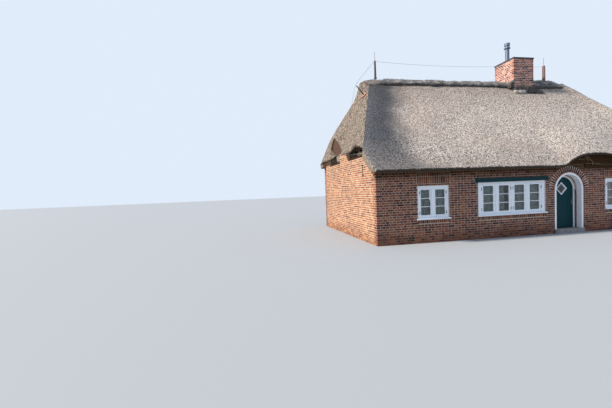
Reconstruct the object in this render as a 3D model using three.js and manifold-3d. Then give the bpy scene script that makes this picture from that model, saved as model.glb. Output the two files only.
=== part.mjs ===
// A thatched brick cottage with half-hipped ends, in millimetres, +Z up.
// The origin is on the ground under the middle of the roof's plan, +X runs along the front to the right,
// and the front wall faces -Y.
import * as THREE from 'three';
import { mergeVertices } from 'three/addons/utils/BufferGeometryUtils.js';
import Module from 'manifold-3d';

const wasm = await Module();
wasm.setup();

// Walls
const HOUSE_LENGTH = 13200;
const HOUSE_DEPTH = 7100;
const WALL = 360;
const FRONT_FACE = -3475;
const BACK_FACE = FRONT_FACE + HOUSE_DEPTH;
const LEFT_FACE = -HOUSE_LENGTH / 2;
const RIGHT_FACE = HOUSE_LENGTH / 2;
const GAP = 0.3;
const fromLeft = (distance) => LEFT_FACE + distance;

// Roof planes: the lips are the lowest edges of the thatch, and each pitch is rise over run
const RIDGE_Y = 175;
const RIDGE_Z = 6850;
const EAVE_OVERHANG = 3875;
const FRONT_LIP_Z = 2550;
const BACK_LIP_Z = 3220;
const END_OVERHANG = 300;
const HIP_LIP_Z = 3460;
const THATCH_DROP = 460;
const FRONT_PITCH = (RIDGE_Z - FRONT_LIP_Z) / (RIDGE_Y + EAVE_OVERHANG);
const BACK_PITCH = (RIDGE_Z - BACK_LIP_Z) / (EAVE_OVERHANG - RIDGE_Y);
const FRONT_WALL_TOP = 2515;
const BACK_WALL_TOP = 3180;
const BACK_SEAT = 180;
const THATCH_END = HOUSE_LENGTH / 2 + END_OVERHANG;
const HIP_APEX_X = HOUSE_LENGTH / 2 - 1300;
const HIP_PITCH = (RIDGE_Z - HIP_LIP_Z) / (THATCH_END - HIP_APEX_X);
const LIP_TRIM = 140;
const SOFFIT_Z = HIP_LIP_Z - THATCH_DROP + END_OVERHANG * HIP_PITCH;

// The eyebrow: a raised stretch of the front eave beside the doorway's arch, closed by boards
const EYEBROW_X = fromLeft(8990);
const EYEBROW_HALF = 1720;
const EYEBROW_LIFT = 450;
const EYEBROW_BULGE = 240;
const EYEBROW_BOARDS = { setback: 20, thick: 60, least: 20 };

// The thatch is trimmed in an arch over each attic window: outlines in (y, z), the low one by the front
const NOTCHES = [
  [[-3150, 3380], [-2950, 3500], [-2500, 3580], [-2050, 3625], [-1780, 3600], [-1620, 3470], [-1590, 3380]],
  [[-420, 3400], [-330, 3600], [200, 3870], [650, 4200], [1050, 4410], [1400, 4420], [1660, 4200],
    [1690, 3900], [1480, 3680], [1300, 3560], [1240, 3400]],
];

// The half hip swells over the taller notch, most in the middle of its width and just above the notch
const HOOD = { y: 1150, half: 1350, swell: 300, z0: HIP_LIP_Z, z1: 4360, z2: 4400, z3: 5800 };

// Doorway
const DOOR_X = fromLeft(7820);
const SURROUND_R = 650;
const SURROUND_BAND = 75;
const SURROUND_DEPTH = 200;
const RING_THICK = 235;
const RING_DEPTH = 240;
const SPRING_Z = 1650;
const REVEAL_R = 530;
const FLOOR_Z = 150;
const OVER_DOOR_TOP = 2620;
const SILL_NOSE = 60;

// Door leaf, in the back of the wall, on a hinge at its left edge
const LEAF_HALF = 505;
const LEAF_FRONT = FRONT_FACE + 285;
const LEAF_THICK = 45;
const LEAF_BACK = LEAF_FRONT + LEAF_THICK;
const LEAF_LIFT = 8;
const FRAME_BAR = 55;
const DOOR_CLEAR = 7;
const STOP_LAP = 15;
const HINGE_R = DOOR_CLEAR - GAP;
const HINGE_HIGH = 110;
const HINGE_FLAP = { wide: 50, thick: 3 };
const HINGE_Z = [420, 1500];
const REBATE_HALF = LEAF_HALF + DOOR_CLEAR + FRAME_BAR;
const REBATE_Y = LEAF_FRONT - 20;
const DIAMOND_X = DOOR_X - 40;
const DIAMOND_Z = 1695;
const DIAMOND_HALF = 245;
const DIAMOND_BAR = 32;
const DIAMOND_PANE = 6;
const HANDLE = {
  x: DOOR_X + LEAF_HALF - 75, z: 1180, half: 20, thick: 8, below: 130, above: 90,
  rod: 9, neck: 50, lever: 120, lift: 30, heel: 10,
};

// Windows: left edge, sill height, width and height, and the width of their outer bars if it isn't FRAME_WIDE
const FRONT_WINDOWS = {
  window_left: { x: fromLeft(1530), z: 820, wide: 1200, high: 1180, lights: 2 },
  window_wide: { x: fromLeft(3900), z: 820, wide: 2860, high: 1230, lights: 4, post: 160 },
  window_right: { x: fromLeft(9520), z: 820, wide: 1200, high: 1200, lights: 2 },
};
const BACK_WINDOWS = {
  window_back_1: { x: fromLeft(1900), z: 1000, wide: 1200, high: 1180, lights: 2 },
  window_back_2: { x: fromLeft(6000), z: 1000, wide: 1200, high: 1180, lights: 2 },
  window_back_3: { x: fromLeft(10100), z: 1000, wide: 1200, high: 1180, lights: 2 },
};
const ATTIC_SILL = 3240;
const ATTIC_HIGH = 370;
const ATTIC_WINDOWS = [
  { y: -2365, wide: 1700, high: ATTIC_HIGH, lights: 3 },
  { y: 675, wide: 1700, high: ATTIC_HIGH, lights: 3 },
];
const WINDOW_SETBACK = 30;
const FRAME_DEEP = 70;
const FRAME_WIDE = 85;
const MULLION_WIDE = 85;
const GLASS_THICK = 8;
const PANE_LAP = 40;
const LINTEL_BOARD = { x: fromLeft(3800), z: 2050, wide: 3050, high: 125, thick: 35 };

// Upper floor, chimney and what stands on the ridge
const LOFT_Z = 2400;
const LOFT_THICK = 150;
const CHIMNEY = { x0: fromLeft(8390), x1: fromLeft(9470), y0: -315, y1: 855, top: 7860, wall: 230 };
const CAP_OVER = 25;
const CAP_THICK = 60;
const FLUE = {
  x: fromLeft(8810), y: 525, r: 95, wall: 8, flange: 45, collar: 8660, collarOver: 50,
  cowl: 8780, cowlOver: 30, top: 8930,
};
const POST_LEFT = { x: fromLeft(1645), r: 48, top: 7720, rodTop: 8120 };
const POST_RIGHT = { x: fromLeft(10570), r: 75, top: 7755, rodTop: 8145 };
const POST_FOOT = { over: 14, high: 60 };
const ROD_R = 9;
const WIRE_R = 5;
const WIRE_BELOW_TOP = 40;
const WIRE_AT_CHIMNEY = CHIMNEY.top - 200;
const SOD_HALF = 310;
const SOD_RISE = 60;
const SOD_FALL = 1.25;
const SOD_ROUND = 120;
const SOD_LEAST = 45;
const SOD_END_X = 5150;
const SOD_NOSE = { long: 450, drop: 200 };
const SOD_ROOT = 100;
const SKIRT = { left: 70, right: 430, front: 150, back: 150, thick: 120 };

// A stake leans out of the left half hip and holds the wire that runs on down to the wall
const STAKE = { foot: [fromLeft(920), -275, 6045], tip: [fromLeft(572), -275, 6450], r: 26, root: 120 };
const HIP_WIRE_BENDS = [
  [STAKE.tip[0] - 20, STAKE.tip[1], STAKE.tip[2] + 40],
  [STAKE.tip[0] - 60, STAKE.tip[1] - 10, STAKE.tip[2] - 60],
  [fromLeft(-90), -700, 4300], [fromLeft(-335), -850, 3560], [fromLeft(-325), -870, 3430],
  [fromLeft(-WIRE_R / 3 - GAP), -900, 3330],
];
const GABLE_WIRE_BENDS = [
  [fromLeft(-WIRE_R - GAP), -2508, 3276], [fromLeft(-60), -2250, 3300], [fromLeft(-200), -500, 3450],
  [fromLeft(-220), 600, 3540], [fromLeft(-150), 1080, 3560], [fromLeft(-WIRE_R - GAP), 1180, 3545],
];

// Colours and surfaces
const finish = (color, roughness, metalness = 0) => ({ color, roughness, metalness });
const BRICK = finish(0x7d3a2c, 0.9);
const THATCH = finish(0x9a8f85, 1);
const SOD = finish(0x4a443c, 1);
const PLASTER = finish(0xe8eaf0, 0.7);
const WHITE_PAINT = finish(0xe6ebf2, 0.5);
const TEAL_PAINT = finish(0x14343c, 0.5);
const DARK_TIMBER = finish(0x3a2a20, 0.8);
const GREY_TIMBER = finish(0x5a4a42, 0.85);
const FLOOR_BRICK = finish(0x80604c, 0.9);
const STONE = finish(0x8d8a84, 0.8);
const SLATE = finish(0x3c4046, 0.7);
const STEEL = finish(0x6f7f8c, 0.4, 0.8);
const GLASS = finish(0x9fb4b4, 0.1);
const WIRE = finish(0x8a8f94, 0.5, 0.7);

// How far a cutter runs past what it cuts
const CUT = 50;

const cottage = new THREE.Group();

function addNode(name, geometry, look) {
  const mesh = new THREE.Mesh(geometry, new THREE.MeshStandardMaterial(look));
  mesh.name = name;
  cottage.add(mesh);
  return mesh;
}

// A closed geometry as a solid that can be joined and cut, and back again
function solidOf(geometry) {
  const bare = geometry.clone();
  bare.deleteAttribute('normal');
  bare.deleteAttribute('uv');
  const merged = mergeVertices(bare, 1e-3);
  return new wasm.Manifold(new wasm.Mesh({
    numProp: 3,
    vertProperties: new Float32Array(merged.attributes.position.array),
    triVerts: new Uint32Array(merged.index.array),
  }));
}

function geometryOf(solid) {
  const mesh = solid.getMesh();
  const geometry = new THREE.BufferGeometry();
  geometry.setAttribute('position', new THREE.BufferAttribute(mesh.vertProperties, 3));
  geometry.setIndex(new THREE.BufferAttribute(mesh.triVerts, 1));
  return geometry;
}

function cutAway(solid, ...cutters) {
  return cutters.reduce((rest, cutter) => rest.subtract(cutter), solid);
}

function boxGeometry(x0, x1, y0, y1, z0, z1) {
  const geometry = new THREE.BoxGeometry(x1 - x0, y1 - y0, z1 - z0);
  return geometry.translate((x0 + x1) / 2, (y0 + y1) / 2, (z0 + z1) / 2);
}

function boxSolid(...limits) {
  return solidOf(boxGeometry(...limits));
}

// Prisms from an outline: along +Z from a plan, along +Y from an (x, z) outline,
// and along +X from a (y, z) outline
function shapeOf(points) {
  return new THREE.Shape(points.map(([a, b]) => new THREE.Vector2(a, b)));
}

function prismUp(points, z0, z1) {
  const geometry = new THREE.ExtrudeGeometry(shapeOf(points), { depth: z1 - z0, bevelEnabled: false });
  return geometry.translate(0, 0, z0);
}

function prismBack(points, y0, y1) {
  const geometry = new THREE.ExtrudeGeometry(shapeOf(points), { depth: y1 - y0, bevelEnabled: false });
  return geometry.rotateX(Math.PI / 2).translate(0, y1, 0);
}

function prismAcross(points, x0, x1) {
  const geometry = new THREE.ExtrudeGeometry(shapeOf(points), { depth: x1 - x0, bevelEnabled: false });
  return geometry.rotateY(Math.PI / 2).rotateX(Math.PI / 2).translate(x0, 0, 0);
}

// A box whose grid of points is bent to a new place: u and v run over its face, w from inside to outside
function bentBox(columns, rows, place) {
  const geometry = new THREE.BoxGeometry(1, 1, 1, columns, rows, 1);
  const spots = geometry.attributes.position;
  for (let i = 0; i < spots.count; i++) {
    const [x, y, z] = place(spots.getX(i) + 0.5, spots.getY(i) + 0.5, spots.getZ(i) + 0.5);
    spots.setXYZ(i, x, y, z);
  }
  return geometry;
}

const mix = (a, b, t) => a + (b - a) * t;

// An arch outline: straight jambs up to the springing, then a half circle
function archOutline(x, radius, bottom, spring, steps = 24) {
  const points = [[x - radius, bottom], [x + radius, bottom]];
  for (let i = 0; i <= steps; i++) {
    const angle = Math.PI * i / steps;
    points.push([x + radius * Math.cos(angle), spring + radius * Math.sin(angle)]);
  }
  return points;
}

// Heights of the thatch's outer planes
const frontHeight = (y) => FRONT_LIP_Z + (y + EAVE_OVERHANG) * FRONT_PITCH;
const backHeight = (y) => BACK_LIP_Z + (EAVE_OVERHANG - y) * BACK_PITCH;
const hipHeight = (x) => HIP_LIP_Z + (THATCH_END - Math.abs(x)) * HIP_PITCH;
const roofHeight = (x, y) => Math.min(frontHeight(y), backHeight(y), hipHeight(x));

// How far the eyebrow has risen at x, from 0 at its ends to 1 in the middle
function eyebrowRise(x) {
  const reach = Math.abs(x - EYEBROW_X) / EYEBROW_HALF;
  return reach < 1 ? Math.cos(reach ** 1.3 * Math.PI / 2) : 0;
}

// The eyebrow's swell dies out up the slope: v is 0 at the eave and 1 at the ridge
function eyebrowFade(v) {
  return Math.max(0, 1 - v / 0.75) ** 2;
}

// Plan lines where the front and back slopes meet the half hips
const FRONT_HIP_Y = RIDGE_Y - (RIDGE_Z - HIP_LIP_Z) / FRONT_PITCH;
const BACK_HIP_Y = RIDGE_Y + (RIDGE_Z - HIP_LIP_Z) / BACK_PITCH;
const ROOF_TOP = 9000;

// The plan of the front or back slope, side -1 or +1, with its lower corners trimmed
function slopePlan(side) {
  const seam = RIDGE_Y + side * GAP / 2;
  const hipY = side < 0 ? FRONT_HIP_Y : BACK_HIP_Y;
  const lip = side * EAVE_OVERHANG;
  const outer = lip + side * 4 * CUT;
  const lipEnd = THATCH_END - LIP_TRIM;
  const inset = GAP / 2;
  return [
    [-lipEnd, outer], [lipEnd, outer], [lipEnd, lip],
    [THATCH_END, hipY + side * inset],
    [HIP_APEX_X + inset, seam], [-HIP_APEX_X - inset, seam],
    [-THATCH_END, hipY + side * inset], [-lipEnd, lip],
  ];
}

const chimneyHole = boxSolid(
  CHIMNEY.x0 - GAP, CHIMNEY.x1 + GAP, CHIMNEY.y0 - GAP, CHIMNEY.y1 + GAP, FLOOR_Z - 1, ROOF_TOP);

const EYEBROW_COLUMNS = 52;
const columnX = (u) => mix(-THATCH_END, THATCH_END, u);

function thatchFront() {
  const slab = bentBox(EYEBROW_COLUMNS, 8, (u, v, w) => {
    const x = columnX(u);
    const rise = eyebrowRise(x);
    const fade = eyebrowFade(v);
    const low = (w > 0.5 ? FRONT_LIP_Z : FRONT_WALL_TOP) + EYEBROW_LIFT * rise;
    const high = w > 0.5 ? RIDGE_Z : RIDGE_Z - THATCH_DROP;
    const z = mix(low, high, v);
    const onPlane = -EAVE_OVERHANG + (z + (w > 0.5 ? 0 : THATCH_DROP) - FRONT_LIP_Z) / FRONT_PITCH;
    return [x, onPlane - EYEBROW_BULGE * rise * fade, z];
  });
  const plan = solidOf(prismUp(slopePlan(-1), 0, ROOF_TOP));
  return cutAway(solidOf(slab).intersect(plan), chimneyHole);
}

function thatchBack() {
  const seatY = EAVE_OVERHANG - (BACK_WALL_TOP + THATCH_DROP - BACK_LIP_Z) / BACK_PITCH;
  const slab = prismAcross([
    [EAVE_OVERHANG, BACK_LIP_Z], [RIDGE_Y, RIDGE_Z], [RIDGE_Y, RIDGE_Z - THATCH_DROP], [seatY, BACK_WALL_TOP],
  ], -THATCH_END, THATCH_END);
  const plan = solidOf(prismUp(slopePlan(1), 0, ROOF_TOP));
  return cutAway(solidOf(slab).intersect(plan), chimneyHole);
}

// The prism under one of the trimmed arches, drawn in a little by the share to shrink
function archedNotch(points, shrink) {
  const curve = new THREE.CatmullRomCurve3(points.map(([y, z]) => new THREE.Vector3(y, z, 0)), false);
  const edge = curve.getPoints(18);
  const middle = edge.reduce((sum, p) => sum.addScaledVector(p, 1 / edge.length), new THREE.Vector3());
  const inset = edge.map((p) => p.lerp(middle, shrink)).map((p) => [p.x, p.y]);
  const low = 2000;
  return [[inset[0][0], low], ...inset, [inset.at(-1)[0], low]];
}

function notchCutters(side, shrink) {
  const inner = HIP_APEX_X - 800;
  const [x0, x1] = side < 0 ? [-THATCH_END - 400, -inner] : [inner, THATCH_END + 400];
  return NOTCHES.map((points) => solidOf(prismAcross(archedNotch(points, shrink), x0, x1)));
}

function hoodSwell(y, z) {
  const aside = Math.min(1, Math.abs(y - HOOD.y) / HOOD.half);
  const rise = THREE.MathUtils.smoothstep(z, HOOD.z0, HOOD.z1);
  const fall = 1 - THREE.MathUtils.smoothstep(z, HOOD.z2, HOOD.z3);
  return HOOD.swell * Math.cos(aside * Math.PI / 2) ** 2 * rise * fall;
}

function thatchHip(side) {
  const slab = bentBox(20, 10, (u, v, w) => {
    const y = mix(FRONT_HIP_Y - END_OVERHANG, BACK_HIP_Y + END_OVERHANG, side < 0 ? 1 - u : u);
    const z = mix(w > 0.5 ? HIP_LIP_Z : SOFFIT_Z, w > 0.5 ? RIDGE_Z : RIDGE_Z - THATCH_DROP, v);
    const drop = w > 0.5 ? 0 : THATCH_DROP;
    const x = THATCH_END - (z + drop - HIP_LIP_Z) / HIP_PITCH + (w > 0.5 ? hoodSwell(y, z) : 0);
    return [side * x, y, z];
  });
  const inset = GAP / 2;
  const outer = side * (THATCH_END + 2 * CUT);
  const plan = solidOf(prismUp([
    [outer, FRONT_HIP_Y + inset], [outer, BACK_HIP_Y - inset],
    [side * THATCH_END, BACK_HIP_Y - inset], [side * (HIP_APEX_X + inset), RIDGE_Y],
    [side * THATCH_END, FRONT_HIP_Y + inset],
  ], 0, ROOF_TOP));
  return cutAway(solidOf(slab).intersect(plan), ...notchCutters(side, 0));
}

// The space above the thatch's underside, which the end walls are cut back from
function roofSpace(side) {
  const lift = -THATCH_DROP - GAP;
  const far = 6000;
  const front = solidOf(prismAcross([
    [-far, frontHeight(-far) + lift], [far, frontHeight(far) + lift], [-far, frontHeight(far) + lift],
  ], -far * 2, far * 2));
  const back = solidOf(prismAcross([
    [far, backHeight(far) + lift], [far, backHeight(-far) + lift], [-far, backHeight(-far) + lift],
  ], -far * 2, far * 2));
  const edge = side * (THATCH_END + 2000);
  const inner = side * (HIP_APEX_X - 2000);
  const hip = solidOf(prismBack([
    [edge, hipHeight(edge) + lift], [inner, hipHeight(inner) + lift], [edge, hipHeight(inner) + lift],
  ], -far, far));
  return [front, back, cutAway(hip, ...notchCutters(side, 0.002))];
}

function windowHole({ x, z, wide, high }, y) {
  return boxSolid(x, x + wide, y - CUT, y + WALL + CUT, z, z + high);
}

// The doorway cuts: the white surround sits in the front of the wall, a narrower reveal behind it,
// and the back of the wall is rebated for the frame of the leaf
function doorwayCutters() {
  const surround = prismBack(
    archOutline(DOOR_X, SURROUND_R + GAP, -CUT, SPRING_Z),
    FRONT_FACE - CUT, FRONT_FACE + SURROUND_DEPTH + GAP);
  const reveal = prismBack(
    archOutline(DOOR_X, REVEAL_R, -CUT, SPRING_Z), FRONT_FACE - CUT, FRONT_FACE + WALL + CUT);
  const rebate = prismBack(
    archOutline(DOOR_X, REBATE_HALF + GAP, -CUT, SPRING_Z), REBATE_Y - GAP, FRONT_FACE + WALL + CUT);
  const ring = prismBack(
    archOutline(DOOR_X, SURROUND_R + RING_THICK + GAP, SPRING_Z - GAP, SPRING_Z),
    FRONT_FACE - CUT, FRONT_FACE + RING_DEPTH + GAP);
  return [surround, reveal, rebate, ring].map(solidOf);
}

function frontWallBlock(x0, x1) {
  const top = frontHeight(FRONT_FACE) - THATCH_DROP - 2 * GAP;
  return solidOf(prismAcross([
    [FRONT_FACE, 0], [FRONT_FACE + WALL, 0],
    [FRONT_FACE + WALL, top + WALL * FRONT_PITCH], [FRONT_FACE, top],
  ], x0, x1));
}

// Under the eyebrow the brickwork stays low and flat, and dark boards close the space above it
const EYEBROW_X0 = EYEBROW_X - EYEBROW_HALF;
const EYEBROW_X1 = EYEBROW_X + EYEBROW_HALF;

function eyebrowSpace() {
  const ledge = FRONT_WALL_TOP - 2 * GAP;
  return boxSolid(EYEBROW_X0, EYEBROW_X1, FRONT_FACE - CUT, FRONT_FACE + WALL + CUT, ledge, ROOF_TOP);
}

function buildFrontWalls(holes) {
  const splitLeft = DOOR_X - SURROUND_R - GAP;
  const splitRight = DOOR_X + SURROUND_R + GAP;
  const doorway = doorwayCutters();
  const left = cutAway(frontWallBlock(LEFT_FACE, splitLeft), ...doorway, ...holes);
  const right = cutAway(frontWallBlock(splitRight, RIGHT_FACE), ...doorway, ...holes, eyebrowSpace());
  const over = boxSolid(
    splitLeft + GAP, splitRight - GAP, FRONT_FACE, FRONT_FACE + WALL, SPRING_Z, OVER_DOOR_TOP);
  addNode('wall_front_left', geometryOf(left), BRICK);
  addNode('wall_front_right', geometryOf(right), BRICK);
  addNode('wall_front_over_door', geometryOf(cutAway(over, ...doorway, thatchUnder())), BRICK);
}

// What lies above the front slope's underside, the eyebrow included
function thatchUnder() {
  const forward = 1500;
  const upward = 700;
  return solidOf(bentBox(EYEBROW_COLUMNS, 8, (u, v, w) => {
    const x = columnX(u);
    const rise = eyebrowRise(x);
    const z = mix(FRONT_WALL_TOP + EYEBROW_LIFT * rise, RIDGE_Z - THATCH_DROP, v);
    const onPlane = -EAVE_OVERHANG + (z + THATCH_DROP - FRONT_LIP_Z) / FRONT_PITCH;
    const fade = eyebrowFade(v);
    const y = onPlane - EYEBROW_BULGE * rise * fade;
    return w > 0.5 ? [x, y - forward * (1 - v), z - 2 * GAP + upward * v] : [x, y, z - 2 * GAP];
  }));
}

function buildBackWall(holes) {
  const top = BACK_WALL_TOP - GAP;
  const inner = BACK_FACE - WALL;
  const seat = BACK_FACE - BACK_SEAT;
  const block = solidOf(prismAcross([
    [inner, 0], [BACK_FACE, 0], [BACK_FACE, top], [seat, top],
    [inner, backHeight(inner) - THATCH_DROP - 2 * GAP],
  ], LEFT_FACE, RIGHT_FACE));
  addNode('wall_back', geometryOf(cutAway(block, ...holes)), BRICK);
}

function atticHole(side, { y, wide, high }) {
  const [x0, x1] = side < 0
    ? [LEFT_FACE - CUT, LEFT_FACE + WALL + CUT] : [RIGHT_FACE - WALL - CUT, RIGHT_FACE + CUT];
  return boxSolid(x0, x1, y, y + wide, ATTIC_SILL, ATTIC_SILL + high);
}

function buildEndWall(side) {
  const blockTop = 5200;
  const [x0, x1] = side < 0 ? [LEFT_FACE, LEFT_FACE + WALL] : [RIGHT_FACE - WALL, RIGHT_FACE];
  const block = boxSolid(x0, x1, FRONT_FACE + WALL + GAP, BACK_FACE - WALL - GAP, 0, blockTop);
  const holes = ATTIC_WINDOWS.map((opening) => atticHole(side, opening));
  const name = side < 0 ? 'wall_left' : 'wall_right';
  addNode(name, geometryOf(cutAway(block, ...roofSpace(side), ...holes)), BRICK);
}

// A frame of outer bars and mullions, standing in the (x, z) plane with its front at y = 0
function windowFrame({ wide, high, lights, post = FRAME_WIDE }) {
  const clear = (wide - 2 * post - (lights - 1) * MULLION_WIDE) / lights;
  const holes = Array.from({ length: lights }, (_, i) => {
    const x = post + i * (clear + MULLION_WIDE);
    return boxSolid(x, x + clear, -CUT, FRAME_DEEP + CUT, FRAME_WIDE, high - FRAME_WIDE);
  });
  return geometryOf(cutAway(boxSolid(GAP, wide - GAP, 0, FRAME_DEEP, GAP, high - GAP), ...holes));
}

function paneGeometry(wide, high) {
  return boxGeometry(PANE_LAP, wide - PANE_LAP, 0, GLASS_THICK, PANE_LAP, high - PANE_LAP);
}

function buildWindow(name, opening, face, turn) {
  const frame = addNode(`${name}_frame`, windowFrame(opening), WHITE_PAINT);
  const x = turn ? opening.x + opening.wide : opening.x;
  const towardInside = turn ? -1 : 1;
  frame.position.set(x, face + towardInside * WINDOW_SETBACK, opening.z);
  frame.rotation.z = turn ? Math.PI : 0;
}

function buildFrontWindows() {
  for (const [name, opening] of Object.entries(FRONT_WINDOWS)) {
    buildWindow(name, opening, FRONT_FACE, false);
    const pane = addNode(`${name}_glass`, paneGeometry(opening.wide, opening.high), GLASS);
    pane.position.set(opening.x, FRONT_FACE + WINDOW_SETBACK + FRAME_DEEP + GAP, opening.z);
  }
  const { x, z, wide, high, thick } = LINTEL_BOARD;
  const y = FRONT_FACE - GAP;
  addNode('lintel_board', boxGeometry(x, x + wide, y - thick, y, z, z + high), TEAL_PAINT);
}

function buildBackWindows() {
  const openings = Object.entries(BACK_WINDOWS);
  for (const [name, opening] of openings) buildWindow(name, opening, BACK_FACE, true);
  const first = openings[0][1];
  const last = openings.at(-1)[1];
  const y = BACK_FACE - WALL - GAP;
  addNode('glass_back', boxGeometry(
    first.x - PANE_LAP, last.x + last.wide + PANE_LAP, y - GLASS_THICK, y,
    first.z - PANE_LAP, first.z + first.high + PANE_LAP), GLASS);
}

function buildAtticWindows(side) {
  const label = side < 0 ? 'left' : 'right';
  const face = side < 0 ? LEFT_FACE : RIGHT_FACE;
  ATTIC_WINDOWS.forEach((opening, i) => {
    const frame = addNode(`attic_${label}_${i + 1}_frame`, windowFrame(opening), DARK_TIMBER);
    frame.position.set(
      face - side * WINDOW_SETBACK, side < 0 ? opening.y + opening.wide : opening.y, ATTIC_SILL);
    frame.rotation.z = side < 0 ? -Math.PI / 2 : Math.PI / 2;
  });
  const [near, far] = ATTIC_WINDOWS;
  const x = face - side * (WALL + GAP);
  addNode(`glass_attic_${label}`, boxGeometry(
    Math.min(x, x - side * GLASS_THICK), Math.max(x, x - side * GLASS_THICK),
    near.y - PANE_LAP, far.y + far.wide + PANE_LAP,
    ATTIC_SILL - PANE_LAP, ATTIC_SILL + ATTIC_HIGH + PANE_LAP), GLASS);
}

function buildDoorway() {
  const bottom = FLOOR_Z + GAP;
  const ring = cutAway(
    solidOf(prismBack(archOutline(DOOR_X, SURROUND_R + RING_THICK, SPRING_Z, SPRING_Z),
      FRONT_FACE, FRONT_FACE + RING_DEPTH)),
    solidOf(prismBack(archOutline(DOOR_X, SURROUND_R + GAP, SPRING_Z - CUT, SPRING_Z),
      FRONT_FACE - CUT, FRONT_FACE + SURROUND_DEPTH + GAP)),
    solidOf(prismBack(archOutline(DOOR_X, REVEAL_R, SPRING_Z - CUT, SPRING_Z),
      FRONT_FACE - CUT, FRONT_FACE + WALL)));
  addNode('arch_ring', geometryOf(ring), BRICK);

  const surround = cutAway(
    solidOf(prismBack(archOutline(DOOR_X, SURROUND_R, bottom, SPRING_Z),
      FRONT_FACE, FRONT_FACE + SURROUND_DEPTH)),
    solidOf(prismBack(archOutline(DOOR_X, SURROUND_R - SURROUND_BAND, 0, SPRING_Z),
      FRONT_FACE - CUT, FRONT_FACE + SURROUND_DEPTH + CUT)));
  addNode('doorway_surround', geometryOf(surround), PLASTER);

  // The frame's stop laps over the front edge of the leaf, and its back is flush with the leaf's,
  // so that the arched head clears it as it swings in
  const frame = cutAway(
    solidOf(prismBack(archOutline(DOOR_X, REBATE_HALF, bottom, SPRING_Z), REBATE_Y, LEAF_BACK)),
    solidOf(prismBack(
      archOutline(DOOR_X, LEAF_HALF - STOP_LAP, 0, SPRING_Z), REBATE_Y - CUT, LEAF_BACK + CUT)),
    solidOf(prismBack(archOutline(DOOR_X, LEAF_HALF + DOOR_CLEAR, 0, SPRING_Z),
      LEAF_FRONT - DOOR_CLEAR, LEAF_BACK + CUT)));
  addNode('door_frame', geometryOf(frame), WHITE_PAINT);

  const sill = boxGeometry(DOOR_X - SURROUND_R + GAP, DOOR_X + SURROUND_R - GAP,
    FRONT_FACE - SILL_NOSE, FRONT_FACE + SURROUND_DEPTH, 0, FLOOR_Z);
  addNode('door_sill', sill, STONE);
}

function diamondOutline(half) {
  return [[0, -half], [half, 0], [0, half], [-half, 0]].map(([a, b]) => [DIAMOND_X + a, DIAMOND_Z + b]);
}

function buildDoor() {
  const bottom = FLOOR_Z + LEAF_LIFT;
  const hole = solidOf(prismBack(diamondOutline(DIAMOND_HALF), LEAF_FRONT - CUT, LEAF_BACK + CUT));
  const leaf = solidOf(prismBack(archOutline(DOOR_X, LEAF_HALF, bottom, SPRING_Z), LEAF_FRONT, LEAF_BACK));
  addNode('door_leaf', geometryOf(cutAway(leaf, hole)), TEAL_PAINT);

  const inset = DIAMOND_HALF - GAP * 2;
  const bars = cutAway(
    solidOf(prismBack(diamondOutline(inset), LEAF_FRONT, LEAF_BACK)),
    solidOf(prismBack(diamondOutline(inset - DIAMOND_BAR * Math.SQRT2), LEAF_FRONT - CUT, LEAF_BACK + CUT)));
  addNode('door_window_frame', geometryOf(bars), WHITE_PAINT);

  const paneHalf = inset - DIAMOND_BAR * Math.SQRT2 - 1;
  const paneY = LEAF_FRONT + LEAF_THICK / 2;
  addNode('door_window_glass', prismBack(
    diamondOutline(paneHalf), paneY - DIAMOND_PANE / 2, paneY + DIAMOND_PANE / 2), GLASS);

  addNode('door_handle', leverHandle(), STEEL);

  addNode('door_hinge_lower', doorHinge(HINGE_Z[0]), STEEL);
  addNode('door_hinge_upper', doorHinge(HINGE_Z[1]), STEEL);
}

// The leaf turns about its back left edge, on barrels whose flaps lie on the back of the frame
function doorHinge(z) {
  const x = DOOR_X - LEAF_HALF;
  const barrel = new THREE.CylinderGeometry(HINGE_R, HINGE_R, HINGE_HIGH, 16).rotateX(Math.PI / 2)
    .translate(x, LEAF_BACK + DOOR_CLEAR, z);
  const flapY = LEAF_BACK + GAP;
  const flap = boxSolid(x - HINGE_FLAP.wide, x, flapY, flapY + HINGE_FLAP.thick,
    z - HINGE_HIGH / 2, z + HINGE_HIGH / 2);
  return geometryOf(flap.add(solidOf(barrel)));
}

// A lever handle with its back plate, on the outside of the leaf near its free edge
function leverHandle() {
  const { x, z, half, thick, below, above, rod, neck, lever, lift, heel } = HANDLE;
  const face = LEAF_FRONT - GAP;
  const plate = boxSolid(x - half, x + half, face - thick, face, z - below, z + above);
  const stem = new THREE.CylinderGeometry(rod, rod, neck, 12).translate(x, face - neck / 2 - 5, z + lift);
  const bar = new THREE.CylinderGeometry(rod, rod, lever, 12).rotateZ(Math.PI / 2)
    .translate(x + heel - lever / 2, face - neck, z + lift);
  return geometryOf(plate.add(solidOf(stem)).add(solidOf(bar)));
}

function buildFloors() {
  const x = HOUSE_LENGTH / 2 - WALL - GAP;
  const y0 = FRONT_FACE + WALL + GAP;
  const y1 = BACK_FACE - WALL - GAP;
  // The ground floor runs out through the doorway as far as the sill
  const tongueHalf = LEAF_HALF + DOOR_CLEAR - 30;
  const slab = boxSolid(-x, x, y0, y1, 0, FLOOR_Z).add(boxSolid(
    DOOR_X - tongueHalf, DOOR_X + tongueHalf, FRONT_FACE + SURROUND_DEPTH + GAP, y0 + 1, 0, FLOOR_Z));
  addNode('floor_slab', geometryOf(slab), FLOOR_BRICK);
  const loft = cutAway(boxSolid(-x, x, y0, y1, LOFT_Z, LOFT_Z + LOFT_THICK), chimneyHole);
  addNode('loft_floor', geometryOf(loft), DARK_TIMBER);
}

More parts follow.
